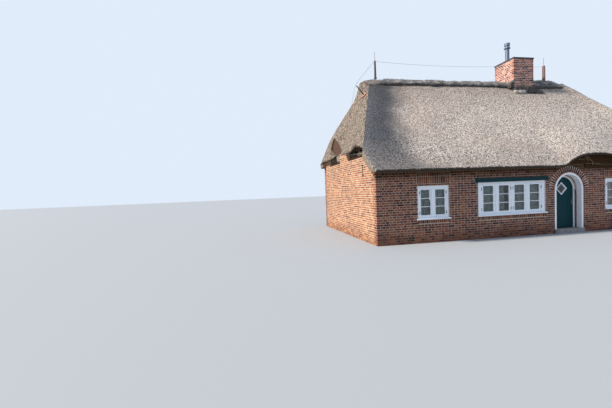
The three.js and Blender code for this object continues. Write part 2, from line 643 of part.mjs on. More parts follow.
// Boards under the eyebrow, from the brickwork up to the thatch's underside
function buildEyebrowBoards() {
  const { setback, thick, least } = EYEBROW_BOARDS;
  const y0 = FRONT_FACE + setback;
  const y1 = y0 + thick;
  const low = FRONT_WALL_TOP - GAP;
  const top = [];
  for (let i = 0; i <= EYEBROW_COLUMNS; i++) {
    const x = columnX(i / EYEBROW_COLUMNS);
    const z = FRONT_WALL_TOP + EYEBROW_LIFT * eyebrowRise(x) - 1;
    if (z > low + least) top.push([x, z]);
  }
  const outline = [[top[0][0], low], [top.at(-1)[0], low], ...top.reverse()];
  const boards = cutAway(solidOf(prismBack(outline, y0, y1)), boxSolid(
    DOOR_X - SURROUND_R - 2 * GAP, DOOR_X + SURROUND_R + 2 * GAP,
    y0 - CUT, y1 + CUT, 0, OVER_DOOR_TOP + GAP));
  addNode('eyebrow_boards', geometryOf(boards), DARK_TIMBER);
}

function buildChimney() {
  const { x0, x1, y0, y1, top, wall } = CHIMNEY;
  const stack = cutAway(
    boxSolid(x0, x1, y0, y1, FLOOR_Z + GAP, top),
    boxSolid(x0 + wall, x1 - wall, y0 + wall, y1 - wall, 0, top + 10));
  addNode('chimney_stack', geometryOf(stack), BRICK);

  const capBottom = top + GAP;
  const capTop = capBottom + CAP_THICK;
  const flueHole = new THREE.CylinderGeometry(FLUE.r - FLUE.wall, FLUE.r - FLUE.wall, 4 * CAP_THICK, 20)
    .rotateX(Math.PI / 2).translate(FLUE.x, FLUE.y, capTop);
  const cap = boxSolid(x0 - CAP_OVER, x1 + CAP_OVER, y0 - CAP_OVER, y1 + CAP_OVER, capBottom, capTop);
  addNode('chimney_cap', geometryOf(cutAway(cap, solidOf(flueHole))), SLATE);
  addNode('flue_pipe', fluePipe(capTop + GAP), STEEL);
}

// The pipe is open at both ends: it has a foot flange, a wide collar and a cowl with an open top
function fluePipe(foot) {
  const { x, y, r, wall, flange, collar, collarOver, cowl, cowlOver, top } = FLUE;
  const profile = [
    [r - wall, foot], [r + flange, foot], [r + flange, foot + 15], [r, foot + 25], [r, collar],
    [r + collarOver, collar + 10], [r + collarOver, collar + 40], [r, collar + 50], [r, cowl],
    [r + cowlOver, cowl + 20], [r + cowlOver, top], [r - wall, top], [r - wall, foot],
  ];
  const lathe = new THREE.LatheGeometry(profile.map(([a, b]) => new THREE.Vector2(a, b)), 20);
  return lathe.rotateX(Math.PI / 2).translate(x, y, 0);
}

// The heather roll along the ridge, with a skirt round the chimney
function sodTop(y) {
  const away = y - RIDGE_Y;
  return RIDGE_Z + SOD_RISE - SOD_FALL * (Math.hypot(away, SOD_ROUND) - SOD_ROUND);
}

// The upper roof as one body, which the roll and the skirt are cut to sit on
function roofBody() {
  const foot = 4000;
  const past = 500;
  const lift = GAP * 2;
  const low = foot - past;
  const yFront = RIDGE_Y - (RIDGE_Z - foot) / FRONT_PITCH;
  const yBack = RIDGE_Y + (RIDGE_Z - foot) / BACK_PITCH;
  const xEnd = HIP_APEX_X + (RIDGE_Z - foot) / HIP_PITCH;
  const along = solidOf(prismAcross([
    [yFront, low], [yBack, low], [yBack, foot + lift], [RIDGE_Y, RIDGE_Z + lift], [yFront, foot + lift],
  ], -xEnd - past, xEnd + past));
  const across = solidOf(prismBack([
    [-xEnd, low], [xEnd, low], [xEnd, foot + lift], [HIP_APEX_X, RIDGE_Z + lift],
    [HIP_APEX_X, RIDGE_Z + past], [-HIP_APEX_X, RIDGE_Z + past], [-HIP_APEX_X, RIDGE_Z + lift],
    [-xEnd, foot + lift],
  ], yFront - past, yBack + past));
  return along.intersect(across);
}

function buildSod() {
  const roll = bentBox(40, 8, (u, v, w) => {
    const x = mix(-SOD_END_X, SOD_END_X, u);
    const nose = Math.max(0, 1 - (SOD_END_X - Math.abs(x)) / SOD_NOSE.long);
    const half = SOD_HALF * Math.sqrt(1 - 0.6 * nose * nose);
    const y = RIDGE_Y + mix(-half, half, v);
    const under = roofHeight(x, y);
    const cover = Math.max(under + SOD_LEAST, sodTop(y) - SOD_NOSE.drop * nose * nose);
    return [x, y, w > 0.5 ? cover : under - SOD_ROOT];
  });
  const skirt = bentBox(6, 8, (u, v, w) => {
    const x = mix(CHIMNEY.x0 - SKIRT.left, CHIMNEY.x1 + SKIRT.right, u);
    const y = v < 0.5
      ? mix(CHIMNEY.y0 - SKIRT.front, RIDGE_Y, v * 2)
      : mix(RIDGE_Y, CHIMNEY.y1 + SKIRT.back, v * 2 - 1);
    const under = roofHeight(x, y);
    return [x, y, w > 0.5 ? under + SKIRT.thick : under - SOD_ROOT];
  });
  const sod = cutAway(solidOf(roll).add(solidOf(skirt)), roofBody(), chimneyHole);
  addNode('ridge_sod', geometryOf(sod), SOD);
}

// A ridge post with its thin rod on top, standing on the heather roll
const POST_FOOT_Z = RIDGE_Z + SOD_RISE + GAP;

function addRidgePost(name, { x, r, top, rodTop }) {
  const high = top - POST_FOOT_Z;
  const rodHigh = rodTop - POST_FOOT_Z;
  const { over, high: footHigh } = POST_FOOT;
  const profile = [
    [0, 0], [r + over, 0], [r + over, footHigh], [r, footHigh + over], [r - 8, high - 30], [r - 20, high],
    [ROD_R, high + 4], [ROD_R - 2, rodHigh], [0, rodHigh + 10],
  ];
  const lathe = new THREE.LatheGeometry(profile.map(([a, b]) => new THREE.Vector2(a, b)), 12);
  addNode(name, lathe.rotateX(Math.PI / 2), GREY_TIMBER).position.set(x, RIDGE_Y, POST_FOOT_Z);
}

function wireTube(points, steps = 24) {
  const path = new THREE.CatmullRomCurve3(points.map(([x, y, z]) => new THREE.Vector3(x, y, z)));
  const ring = new THREE.Shape().absarc(0, 0, WIRE_R, 0, 2 * Math.PI, false);
  return new THREE.ExtrudeGeometry(
    ring, { extrudePath: path, steps, curveSegments: 4, bevelEnabled: false });
}

// A wire from a to b that sags by the given amount
function saggingWire(a, b, sag) {
  const points = [];
  for (let i = 0; i <= 8; i++) {
    const t = i / 8;
    const dip = 4 * sag * t * (1 - t);
    points.push([mix(a[0], b[0], t), mix(a[1], b[1], t), mix(a[2], b[2], t) - dip]);
  }
  return wireTube(points);
}

function hipStake() {
  const { foot, tip, r, root } = STAKE;
  const along = new THREE.Vector3(...tip).sub(new THREE.Vector3(...foot));
  const rod = new THREE.CylinderGeometry(r - 6, r, along.length() + root, 10);
  rod.translate(0, (along.length() - root) / 2, 0);
  rod.applyQuaternion(new THREE.Quaternion().setFromUnitVectors(
    new THREE.Vector3(0, 1, 0), along.clone().normalize()));
  rod.translate(...foot);
  return geometryOf(cutAway(solidOf(rod), roofBody()));
}

function buildRidgeFurniture() {
  addRidgePost('ridge_post_left', POST_LEFT);
  addRidgePost('ridge_post_right', POST_RIGHT);
  const besidePost = (post) => post.r - 7;
  const onPost = (post, side) => [post.x + side * besidePost(post), RIDGE_Y, post.top - WIRE_BELOW_TOP];
  addNode('ridge_wire_left', saggingWire(
    onPost(POST_LEFT, 1), [CHIMNEY.x0 - 1, RIDGE_Y, WIRE_AT_CHIMNEY], 90), WIRE);
  addNode('ridge_wire_right', saggingWire(
    [CHIMNEY.x1 + 1, RIDGE_Y, WIRE_AT_CHIMNEY], onPost(POST_RIGHT, -1), 15), WIRE);
  addNode('hip_stake', hipStake(), GREY_TIMBER);
  const [wireX, wireY, wireZ] = onPost(POST_LEFT, -1);
  addNode('hip_wire', wireTube([[wireX - 3, wireY, wireZ], ...HIP_WIRE_BENDS], 64), WIRE);
  addNode('gable_wire', wireTube(GABLE_WIRE_BENDS), WIRE);
}

buildFloors();
const frontHoles = Object.values(FRONT_WINDOWS).map((opening) => windowHole(opening, FRONT_FACE));
buildFrontWalls(frontHoles);
buildBackWall(Object.values(BACK_WINDOWS).map((opening) => windowHole(opening, BACK_FACE - WALL)));
buildEndWall(-1);
buildEndWall(1);
buildDoorway();
buildDoor();
buildFrontWindows();
buildBackWindows();
buildAtticWindows(-1);
buildAtticWindows(1);
buildEyebrowBoards();
addNode('thatch_front', geometryOf(thatchFront()), THATCH);
addNode('thatch_back', geometryOf(thatchBack()), THATCH);
addNode('thatch_hip_left', geometryOf(thatchHip(-1)), THATCH);
addNode('thatch_hip_right', geometryOf(thatchHip(1)), THATCH);
buildSod();
buildChimney();
buildRidgeFurniture();

export default cottage;
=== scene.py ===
import itertools
import math

import bmesh
import bpy
import numpy as np
from mathutils import Matrix, Vector, noise
from mathutils.geometry import delaunay_2d_cdt


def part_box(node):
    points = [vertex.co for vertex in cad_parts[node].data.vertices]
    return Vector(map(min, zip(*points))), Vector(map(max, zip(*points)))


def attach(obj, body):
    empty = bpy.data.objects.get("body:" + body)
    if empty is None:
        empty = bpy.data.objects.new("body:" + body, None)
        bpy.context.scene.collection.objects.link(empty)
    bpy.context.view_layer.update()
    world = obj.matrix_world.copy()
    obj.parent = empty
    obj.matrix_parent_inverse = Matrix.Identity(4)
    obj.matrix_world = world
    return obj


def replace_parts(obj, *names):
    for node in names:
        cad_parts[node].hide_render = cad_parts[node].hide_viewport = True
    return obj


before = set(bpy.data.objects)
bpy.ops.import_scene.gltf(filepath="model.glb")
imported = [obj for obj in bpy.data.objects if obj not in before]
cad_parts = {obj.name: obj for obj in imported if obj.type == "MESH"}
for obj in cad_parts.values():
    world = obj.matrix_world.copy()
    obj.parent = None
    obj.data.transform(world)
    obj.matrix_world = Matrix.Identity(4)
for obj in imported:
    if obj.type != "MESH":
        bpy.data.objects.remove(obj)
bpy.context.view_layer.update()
chance = np.random.default_rng(11)

# Lines of the house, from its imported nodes, in metres
LEFT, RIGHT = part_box("wall_left")[0].x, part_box("wall_right")[1].x
FRONT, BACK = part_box("wall_front_left")[0].y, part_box("wall_back")[1].y
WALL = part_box("wall_left")[1].x - LEFT
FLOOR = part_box("floor_slab")[1].z
ROOF_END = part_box("thatch_front")[1].x
LIP_END = ROOF_END - 0.14
RIDGE_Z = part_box("thatch_back")[1].z
EAVE_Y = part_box("thatch_back")[1].y
RIDGE_Y = 0.175
THATCH_DROP = 0.46
FRONT_LIP_Z = 2.55
BACK_LIP_Z = 3.22
HIP_LIP_Z = 3.46
HIP_APEX = RIGHT - 1.3
FRONT_SEAT_Z = 2.515
BACK_SEAT_Z = 3.18
FRONT_PITCH = (RIDGE_Z - FRONT_LIP_Z) / (EAVE_Y + RIDGE_Y)
BACK_PITCH = (RIDGE_Z - BACK_LIP_Z) / (EAVE_Y - RIDGE_Y)
HIP_PITCH = (RIDGE_Z - HIP_LIP_Z) / (ROOF_END - HIP_APEX)
EYEBROW_X = LEFT + 8.99
EYEBROW_HALF = 1.72
EYEBROW_LIFT = 0.45
EYEBROW_BULGE = 0.24
CHIMNEY_LOW, CHIMNEY_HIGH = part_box("chimney_stack")

# The doorway's arch
DOOR_X = LEFT + 7.82
SPRING_Z = 1.65
RING_OUTER = 0.885
SURROUND_R = 0.65
SURROUND_DEPTH = 0.2
SURROUND_INNER = 0.575
REVEAL_R = 0.53
OVER_DOOR_TOP = 2.62

# Brickwork
BRICK_LONG = 0.24
BRICK_WIDE = 0.115
BRICK_HIGH = 0.067
JOINT = 0.016
ARCH_JOINT = 0.010
COURSE = BRICK_HIGH + JOINT
BRICK_PROUD = 0.006
BRICK_ARRIS = 0.004
SHALLOW = 0.012
STAND_SPREAD = 0.0015
SMALLEST_PIECE = 0.0012
ARCH_FOOT = 0.006


# Shader helpers

class Tree:
    """A node tree that is filled by short calls."""

    def __init__(self, tree):
        self.tree = tree

    def add(self, kind, inputs=None, **settings):
        """Adds a shader node, links or sets its inputs, and gives its outputs."""
        node = self.tree.nodes.new("ShaderNode" + kind)
        for name, value in settings.items():
            setattr(node, name, value)
        for name, value in (inputs or {}).items():
            self.feed(node.inputs[name], value)
        return node.outputs

    def feed(self, socket, value):
        if isinstance(value, bpy.types.NodeSocket):
            self.tree.links.new(value, socket)
        else:
            socket.default_value = (*value, 1) if socket.type == "RGBA" else value

    def math(self, operation, *values):
        return self.add("Math", dict(enumerate(values)), operation=operation)[0]

    def spread(self, value, low, high, start=0.0, end=1.0, smooth=False):
        """Turns the range from low to high into the range from start to end."""
        kind = "SMOOTHSTEP" if smooth else "LINEAR"
        return self.add("MapRange", {
            "Value": value, "From Min": low, "From Max": high, "To Min": start, "To Max": end},
            interpolation_type=kind)["Result"]

    def noise(self, vector, scale, detail=2.0, **more):
        return self.add("TexNoise", {"Vector": vector, "Scale": scale, "Detail": detail, **more})["Fac"]

    def ramp(self, factor, *stops):
        node = self.tree.nodes.new("ShaderNodeValToRGB")
        self.feed(node.inputs["Fac"], factor)
        steps = node.color_ramp.elements
        while len(steps) < len(stops):
            steps.new(0.5)
        for step, (position, color) in zip(steps, stops):
            step.position = position
            step.color = (*color, 1)
        return node.outputs["Color"]

    def mix(self, factor, first, second, blend="MIX"):
        return self.add("Mix", {0: factor, 6: first, 7: second}, data_type="RGBA", blend_type=blend)[2]

    def place(self, scale=(1, 1, 1)):
        return self.add("Mapping", {"Vector": self.add("TexCoord")["Object"], "Scale": scale})["Vector"]

    def axes(self):
        return self.add("SeparateXYZ", {"Vector": self.place()})

    def surface(self, color=None, height=None, distance=0.0, strength=1.0):
        """Gives the Principled shader its colour, and a normal from a height."""
        shader = self.tree.nodes["Principled BSDF"].inputs
        if color is not None:
            self.feed(shader["Base Color"], color)
        if height is not None:
            bump = {"Height": height, "Distance": distance, "Strength": strength}
            self.feed(shader["Normal"], self.add("Bump", bump)["Normal"])


def group(name, sockets, build):
    """A shader node group: sockets are (name, type, default) going in, or (name, type) coming out."""
    tree = bpy.data.node_groups.new(name, "ShaderNodeTree")
    for label, kind, *default in sockets:
        way = "INPUT" if default else "OUTPUT"
        made = tree.interface.new_socket(label, in_out=way, socket_type="NodeSocket" + kind)
        if default and default[0] is not None:
            made.default_value = default[0]
    given = tree.nodes.new("NodeGroupInput").outputs
    end = tree.nodes.new("NodeGroupOutput").inputs
    holder = Tree(tree)
    for output, value in build(holder, given).items():
        holder.feed(end[output], value)
    return tree


def build_grain(tree, given):
    """Fine speckle laid over a broader mottle."""
    fine = tree.noise(given["Vector"], given["Scale"], 6.0, Roughness=0.65)
    broad = tree.noise(given["Vector"], tree.math("MULTIPLY", given["Scale"], 0.22), 3.0)
    return {"Speckle": tree.spread(tree.math("ADD", fine, broad), 0.7, 1.3), "Height": fine}


def build_patches(tree, given):
    """Large soft patches of weather, from 0 to 1."""
    weather = tree.noise(given["Vector"], given["Scale"], 4.0, Distortion=0.6)
    low = tree.math("SUBTRACT", 0.62, given["Cover"])
    return {"Mask": tree.spread(weather, low, tree.math("ADD", low, 0.22), smooth=True)}


def build_foot_dirt(tree, _):
    """Splashed dirt near the ground, thinning out upwards."""
    rough = tree.math("MULTIPLY", tree.noise(tree.place(), 2.3, 5.0), 0.5)
    edge = tree.math("SUBTRACT", tree.axes()["Z"], rough)
    return {"Mask": tree.spread(edge, 0.35, -0.25, smooth=True)}


GRAIN = group("Speckled grain", [
    ("Vector", "Vector", None), ("Scale", "Float", 40.0), ("Speckle", "Float"), ("Height", "Float")],
    build_grain)
PATCHES = group("Weather patches", [
    ("Vector", "Vector", None), ("Scale", "Float", 1.0), ("Cover", "Float", 0.2), ("Mask", "Float")],
    build_patches)
FOOT_DIRT = group("Splashed dirt", [("Mask", "Float")], build_foot_dirt)


def grain(tree, scale, stretch=(1, 1, 1)):
    """The speckle and the height of a grained surface."""
    made = tree.add("Group", {"Vector": tree.place(stretch), "Scale": scale}, node_tree=GRAIN)
    return made["Speckle"], made["Height"]


def patches(tree, scale, cover, most, stretch=(1, 1, 1)):
    """Patches of weather, from 0 to most."""
    values = {"Vector": tree.place(stretch), "Scale": scale, "Cover": cover}
    made = tree.add("Group", values, node_tree=PATCHES)
    return tree.math("MULTIPLY", made["Mask"], most)


# Materials

FINISHES = {}
NO_EAVE = 9.0


def finish(name, **inputs):
    """A new material's tree. The inputs are those of its Principled shader, with _ for a space."""
    material = bpy.data.materials.new(name)
    material.use_nodes = True
    FINISHES[name] = material
    tree = Tree(material.node_tree)
    for label, value in inputs.items():
        tree.feed(material.node_tree.nodes["Principled BSDF"].inputs[label.replace("_", " ")], value)
    return tree


def shade_under(tree, color, eave):
    """Painted shade: darker in the last courses under an eave."""
    rough = tree.math("MULTIPLY_ADD", tree.noise(tree.place(), 2.5, 3.0), 0.12, tree.axes()["Z"])
    return tree.mix(tree.spread(rough, eave - 0.30, eave - 0.02), color, (0.34, 0.27, 0.18), "MULTIPLY")


def brick_finish(name, darkest, middle, lightest, eave=NO_EAVE):
    """Fired clay: every brick has its own tone, and all are speckled and a little sooty, with painted shade
    under an eave where one is given.
    """
    tree = finish(name, Roughness=0.88, Specular_IOR_Level=0.2)
    tone = tree.add("Attribute", attribute_name="tone")["Fac"]
    clay = tree.ramp(tone, (0.0, darkest), (0.45, middle), (1.0, lightest))
    speckle, height = grain(tree, 42.0)
    spotted = tree.mix(tree.spread(speckle, 0.25, 0.85, 0, 0.55), clay, (0.077, 0.031, 0.025))
    sooty = tree.mix(patches(tree, 0.9, 0.16, 0.25), spotted, (0.069, 0.042, 0.035))
    tree.surface(shade_under(tree, sooty, eave), height, 0.004, 0.8)


def mortar_finish(name, dark, light, eave=NO_EAVE):
    """Sandy mortar, which is the face of the walls between the bricks, with painted shade under an eave
    where one is given.
    """
    tree = finish(name, Roughness=0.95)
    speckle, height = grain(tree, 90.0)
    dirt = tree.add("Group", node_tree=FOOT_DIRT)["Mask"]
    splashed = tree.mix(dirt, tree.ramp(speckle, (0.0, dark), (1.0, light)), (0.154, 0.123, 0.092))
    tree.surface(shade_under(tree, splashed, eave), height, 0.003, 0.7)


def plaster_finish(name, light, dark):
    """Brushed limewash with faint stains."""
    tree = finish(name, Roughness=0.75)
    speckle, height = grain(tree, 28.0)
    stains = patches(tree, 3.0, 0.1, 0.4, (1, 1, 0.35))
    tree.surface(tree.mix(stains, tree.ramp(speckle, (0.0, dark), (0.6, light)), dark), height, 0.002, 0.5)


def thatch_finish(name, light, middle, dark, stain, down, clump_scale):
    """Weathered reed: short strokes down the slope over broader clumps, in patches of age."""
    tree = finish(name, Roughness=0.95)
    strokes, _ = grain(tree, 85.0, down)
    clumps = tree.spread(tree.noise(tree.place(down), clump_scale, 3.0, Roughness=0.6), 0.34, 0.66)
    both = tree.math("MULTIPLY_ADD", clumps, 0.6, tree.math("MULTIPLY", strokes, 0.4))
    reed = tree.ramp(both, (0.38, dark), (0.5, middle), (0.62, light))
    aged = tree.mix(patches(tree, 0.55, 0.12, 0.30, (0.7, 0.7, 1)), reed, stain)
    tree.surface(aged, both, 0.006, 0.9)
    return tree, aged


def grey_thatch_finish():
    """The main slopes: browner towards the ridge, with a blue-grey band beside the left half hip that is
    partly damp and partly painted shade.
    """
    tree, color = thatch_finish(
        "grey_thatch", (0.69, 0.59, 0.495), (0.40, 0.325, 0.272), (0.085, 0.065, 0.055), (0.29, 0.21, 0.16),
        (1, 0.6, 0.6), 44.0)
    x, _, z = tree.axes()
    above = tree.math("MAXIMUM", tree.math("SUBTRACT", z, HIP_LIP_Z), 0.0)
    arris = tree.math("MULTIPLY_ADD", above, 1 / HIP_PITCH, tree.math("MULTIPLY", x, -1.0))
    reach = tree.math("ADD", arris, tree.spread(z, 4.4, 2.6, 0, 0.8))
    # A blue-grey band along the left arris, partly damp and partly painted shade.
    edge = tree.math("MULTIPLY_ADD", tree.noise(tree.place(), 1.1, 6.0), 1.1, reach)
    damp_and_shade = tree.math("MULTIPLY", tree.spread(edge, ROOF_END - 1.45, ROOF_END - 0.15, smooth=True),
                     tree.spread(z, 2.5, 3.8, 0.6, 1.0))
    near_ridge, near_lip = tree.spread(z, 5.1, 6.8, 0, 0.70), tree.spread(z, 3.6, 2.6, 0, 0.8)
    for mask, tint in (
            (near_ridge, (0.53, 0.50, 0.45)), (near_lip, (0.78, 0.78, 0.80)), (damp_and_shade, (0.15, 0.18, 0.235))):
        color = tree.mix(mask, color, tint, "MULTIPLY")
    tree.surface(color)


def cut_reed_finish(name, light, middle, dark, stain):
    """The cut faces of the thatch: stems seen end on."""
    tree = finish(name, Roughness=0.9, Specular_IOR_Level=0.15)
    stems = tree.add("TexVoronoi", {"Vector": tree.place(), "Scale": 60.0})["Distance"]
    straw = tree.ramp(stems, (0.0, light), (0.45, middle), (0.8, dark))
    tree.surface(tree.mix(patches(tree, 2.2, 0.2, 0.6), straw, stain), stems, 0.01, 0.8)


def heather_finish():
    """Matted heather: faded tips, dark stems, grey ends, bare thatch at the chimney's left foot, and painted
    shade along the roll's foot.
    """
    tree = finish("matted_heather", Roughness=1.0)
    speckle, height = grain(tree, 34.0, (0.4, 1, 1))
    color = tree.ramp(
        speckle, (0.1, (0.065, 0.059, 0.055)), (0.55, (0.208, 0.189, 0.177)), (0.95, (0.385, 0.358, 0.339)))
    x, y, z = tree.axes()
    # Painted shade along the foot of the roll, with a ragged upper edge.
    low = tree.math("MULTIPLY_ADD", tree.noise(tree.place(), 4.0, 4.0), -0.16, z)
    bare = tree.math("MULTIPLY", tree.spread(x, 2.38, 2.24, 0, 0.9), tree.spread(y, -0.2, -0.3))
    for mask, tint in (
            (tree.spread(low, 6.66, 6.54, 0, 0.8), (0.023, 0.018, 0.017)),
            (tree.spread(tree.math("ABSOLUTE", x), 4.6, 5.1, 0, 0.8), (0.185, 0.158, 0.139)),
            (tree.math("MULTIPLY", bare, tree.spread(z, 6.37, 6.31)), (0.43, 0.38, 0.345))):
        color = tree.mix(mask, color, tint)
    tree.surface(color, height, 0.03, 1.0)


def paint_finish(name, color, worn, roughness, gloss):
    """Brushed oil paint: faint streaks and a little grime."""
    tree = finish(name, Roughness=roughness, Specular_IOR_Level=gloss)
    streaks = tree.noise(tree.place((30, 30, 2)), 6.0, 3.0)
    coat = tree.ramp(streaks, (0.3, worn), (0.6, color))
    tree.surface(tree.mix(patches(tree, 5.0, 0.08, 0.5), coat, worn), streaks, 0.0008, 0.6)


def timber_finish(name, dark, light):
    """Rough weathered timber: long fibres and checks."""
    tree = finish(name, Roughness=0.85, Specular_IOR_Level=0.15)
    fibres = tree.noise(tree.place((1, 12, 12)), 7.0, 7.0, Roughness=0.7)
    tree.surface(tree.ramp(fibres, (0.3, dark), (0.7, light)), fibres, 0.006, 0.9)


def stone_finish(name, dark, light, scale):
    tree = finish(name, Roughness=0.85)
    speckle, height = grain(tree, scale)
    tree.surface(tree.ramp(speckle, (0.0, dark), (1.0, light)), height, 0.004, 0.7)


def metal_finish(name, dark, light, roughness, metallic):
    """Dull metal with run marks."""
    tree = finish(name, Roughness=roughness, Metallic=metallic)
    runs = tree.noise(tree.place((9, 9, 1)), 4.0, 5.0)
    tree.surface(tree.ramp(runs, (0.3, dark), (0.7, light)), runs, 0.001, 0.5)


def glass_finish():
    tree = finish("window_glass", Roughness=0.02, Base_Color=(0.93, 0.97, 0.96),
                  Transmission_Weight=1.0, IOR=1.45)
    tree.surface(None, tree.noise(tree.place(), 6.0, 1.0), 0.002, 0.25)


def cloth_finish(name, color, shade):
    """Plain woven curtain cloth."""
    tree = finish(name, Roughness=0.9, Sheen_Weight=0.2)
    weave = tree.add("TexWave", {"Vector": tree.place(), "Scale": 160.0, "Distortion": 1.0})["Fac"]
    blotch = tree.noise(tree.place(), 5.0)
    tree.surface(tree.ramp(blotch, (0.3, shade), (0.7, color)), weave, 0.0006, 0.6)


def laid_rows(tree, wide, high, gap, *colors):
    """Bricks or boards in rows, in two colours with a third one between them."""
    return tree.add("TexBrick", {
        "Vector": tree.place(), "Scale": 1.0, "Brick Width": wide, "Row Height": high, "Mortar Size": gap,
        **dict(zip(("Color1", "Color2", "Mortar"), colors))})


def paving_finish():
    """Worn floor bricks laid flat in rows."""
    tree = finish("floor_brick", Roughness=0.8)
    rows = laid_rows(
        tree, 0.25, 0.125, 0.006, (0.193, 0.092, 0.058), (0.131, 0.065, 0.046), (0.185, 0.162, 0.139))
    worn = tree.spread(grain(tree, 30.0)[0], 0.2, 1, 0.5, 0)
    tree.surface(tree.mix(worn, rows["Color"], (0.062, 0.039, 0.031)), rows["Fac"], -0.003, 0.8)


def boards_finish():
    """Wide attic floor boards with dark gaps."""
    tree = finish("attic_boards", Roughness=0.75)
    fibres = tree.noise(tree.place((1, 9, 9)), 5.0, 6.0)
    rows = laid_rows(
        tree, 4.0, 0.17, 0.003, (0.154, 0.1, 0.062), (0.115, 0.073, 0.046), (0.015, 0.012, 0.008))
    color = tree.mix(tree.spread(fibres, 0.3, 0.7, 0.5, 0), rows["Color"], (0.054, 0.035, 0.023))
    tree.surface(color, fibres, 0.002, 0.6)


# The long walls' brick and mortar get painted shade in their last courses under the eave.
for wall, eave_z in (("fired", FRONT_LIP_Z), ("back", BACK_LIP_Z)):
    brick_finish(wall + "_brick", (0.046, 0.016, 0.011), (0.190, 0.053, 0.025), (0.325, 0.123, 0.058),
                 eave_z)
for wall, eave_z in (("weathered", FRONT_LIP_Z), ("back", BACK_LIP_Z)):
    mortar_finish(wall + "_mortar", (0.34, 0.275, 0.22), (0.53, 0.445, 0.37), eave_z)
# A lighter copy of the walls' brick for the sunlit end walls: painted light.
brick_finish("sunlit_brick", (0.20, 0.070, 0.040), (0.375, 0.143, 0.060), (0.52, 0.265, 0.130))
brick_finish("chimney_brick", (0.055, 0.012, 0.009), (0.34, 0.075, 0.038), (0.66, 0.29, 0.18))
mortar_finish("lime_mortar", (0.46, 0.405, 0.315), (0.69, 0.615, 0.49))
mortar_finish("arch_mortar", (0.50, 0.43, 0.37), (0.72, 0.63, 0.55))
mortar_finish("pale_lime_mortar", (0.62, 0.54, 0.47), (0.82, 0.73, 0.65))
plaster_finish("inside_limewash", (0.72, 0.70, 0.66), (0.60, 0.57, 0.52))
plaster_finish("white_plaster", (0.86, 0.87, 0.88), (0.72, 0.74, 0.77))
grey_thatch_finish()
thatch_finish("brown_thatch", (0.26, 0.20, 0.15), (0.12, 0.093, 0.068), (0.030, 0.023, 0.017),
              (0.077, 0.07, 0.043), (0.6, 1, 0.6), 22.0)
cut_reed_finish("cut_reed", (0.40, 0.32, 0.235), (0.26, 0.205, 0.148), (0.084, 0.061, 0.042),
                (0.15, 0.13, 0.11))
# A dark copy of the cut reed: painted shade for the eave's underside, the outer faces just above the eave,
# and the loose reed ends.
cut_reed_finish(
    "shaded_eave_reed", (0.1, 0.077, 0.058), (0.058, 0.045, 0.032), (0.023, 0.017, 0.012), (0.046, 0.04, 0.035))
heather_finish()
paint_finish("white_paint", (0.88, 0.90, 0.92), (0.70, 0.73, 0.76), 0.42, 0.5)
paint_finish("teal_paint", (0.001, 0.034, 0.040), (0.003, 0.046, 0.052), 0.5, 0.15)
timber_finish("brown_timber", (0.027, 0.017, 0.012), (0.123, 0.081, 0.054))
timber_finish("dark_boards", (0.012, 0.005, 0.001), (0.070, 0.030, 0.007))
timber_finish("grey_timber", (0.036, 0.031, 0.029), (0.145, 0.122, 0.112))
timber_finish("gable_timber", (0.034, 0.018, 0.011), (0.130, 0.070, 0.044))
timber_finish("red_timber", (0.085, 0.042, 0.034), (0.34, 0.21, 0.175))
timber_finish("stake_timber", (0.020, 0.006, 0.006), (0.085, 0.022, 0.018))
timber_finish("pale_lath", (0.11, 0.080, 0.040), (0.30, 0.225, 0.125))
stone_finish("worn_stone", (0.185, 0.169, 0.154), (0.323, 0.308, 0.285), 18.0)
stone_finish("cap_slate", (0.027, 0.028, 0.032), (0.077, 0.081, 0.089), 30.0)
metal_finish("dull_steel", (0.092, 0.123, 0.162), (0.208, 0.254, 0.308), 0.5, 0.7)
metal_finish("flue_steel", (0.077, 0.104, 0.142), (0.154, 0.196, 0.254), 0.5, 0.3)
metal_finish("thin_wire", (0.193, 0.2, 0.216), (0.347, 0.362, 0.385), 0.5, 0.6)
metal_finish("dull_wire", (0.065, 0.060, 0.052), (0.13, 0.115, 0.098), 0.6, 0.3)
metal_finish("rusty_iron", (0.045, 0.024, 0.017), (0.12, 0.070, 0.050), 0.7, 0.3)
metal_finish("black_iron", (0.009, 0.009, 0.01), (0.039, 0.035, 0.032), 0.6, 0.5)
glass_finish()
cloth_finish("green_curtain", (0.308, 0.362, 0.323), (0.208, 0.262, 0.239))
cloth_finish("pink_curtain", (0.554, 0.431, 0.385), (0.447, 0.331, 0.293))
paving_finish()
boards_finish()


# Meshes

class Pile:
    """Loose solids gathered into one mesh, each with its own tone."""

    def __init__(self):
        self.points, self.faces, self.tones = [], [], []

    def add(self, points, faces, tone=0.5):
        start = len(self.points)
        self.points.extend(points)
        self.faces.extend([tuple(start + i for i in face) for face in faces])
        self.tones.extend([tone] * len(faces))

    def loft(self, rings, tone=0.5):
        """A closed solid through rings that all have the same number of points."""
        count = len(rings[0])
        last = count * (len(rings) - 1)
        faces = [range(count), range(last, last + count)]
        for a, i in itertools.product(range(0, last, count), range(count)):
            j = (i + 1) % count
            faces.append((a + i, a + j, a + count + j, a + count + i))
        self.add([spot for ring in rings for spot in ring], faces, tone)

    def piece(self, name, finish_key, slot, body="house", smooth=None):
        return make_piece(name, self.points, self.faces, [finish_key], body, smooth, self.tones)


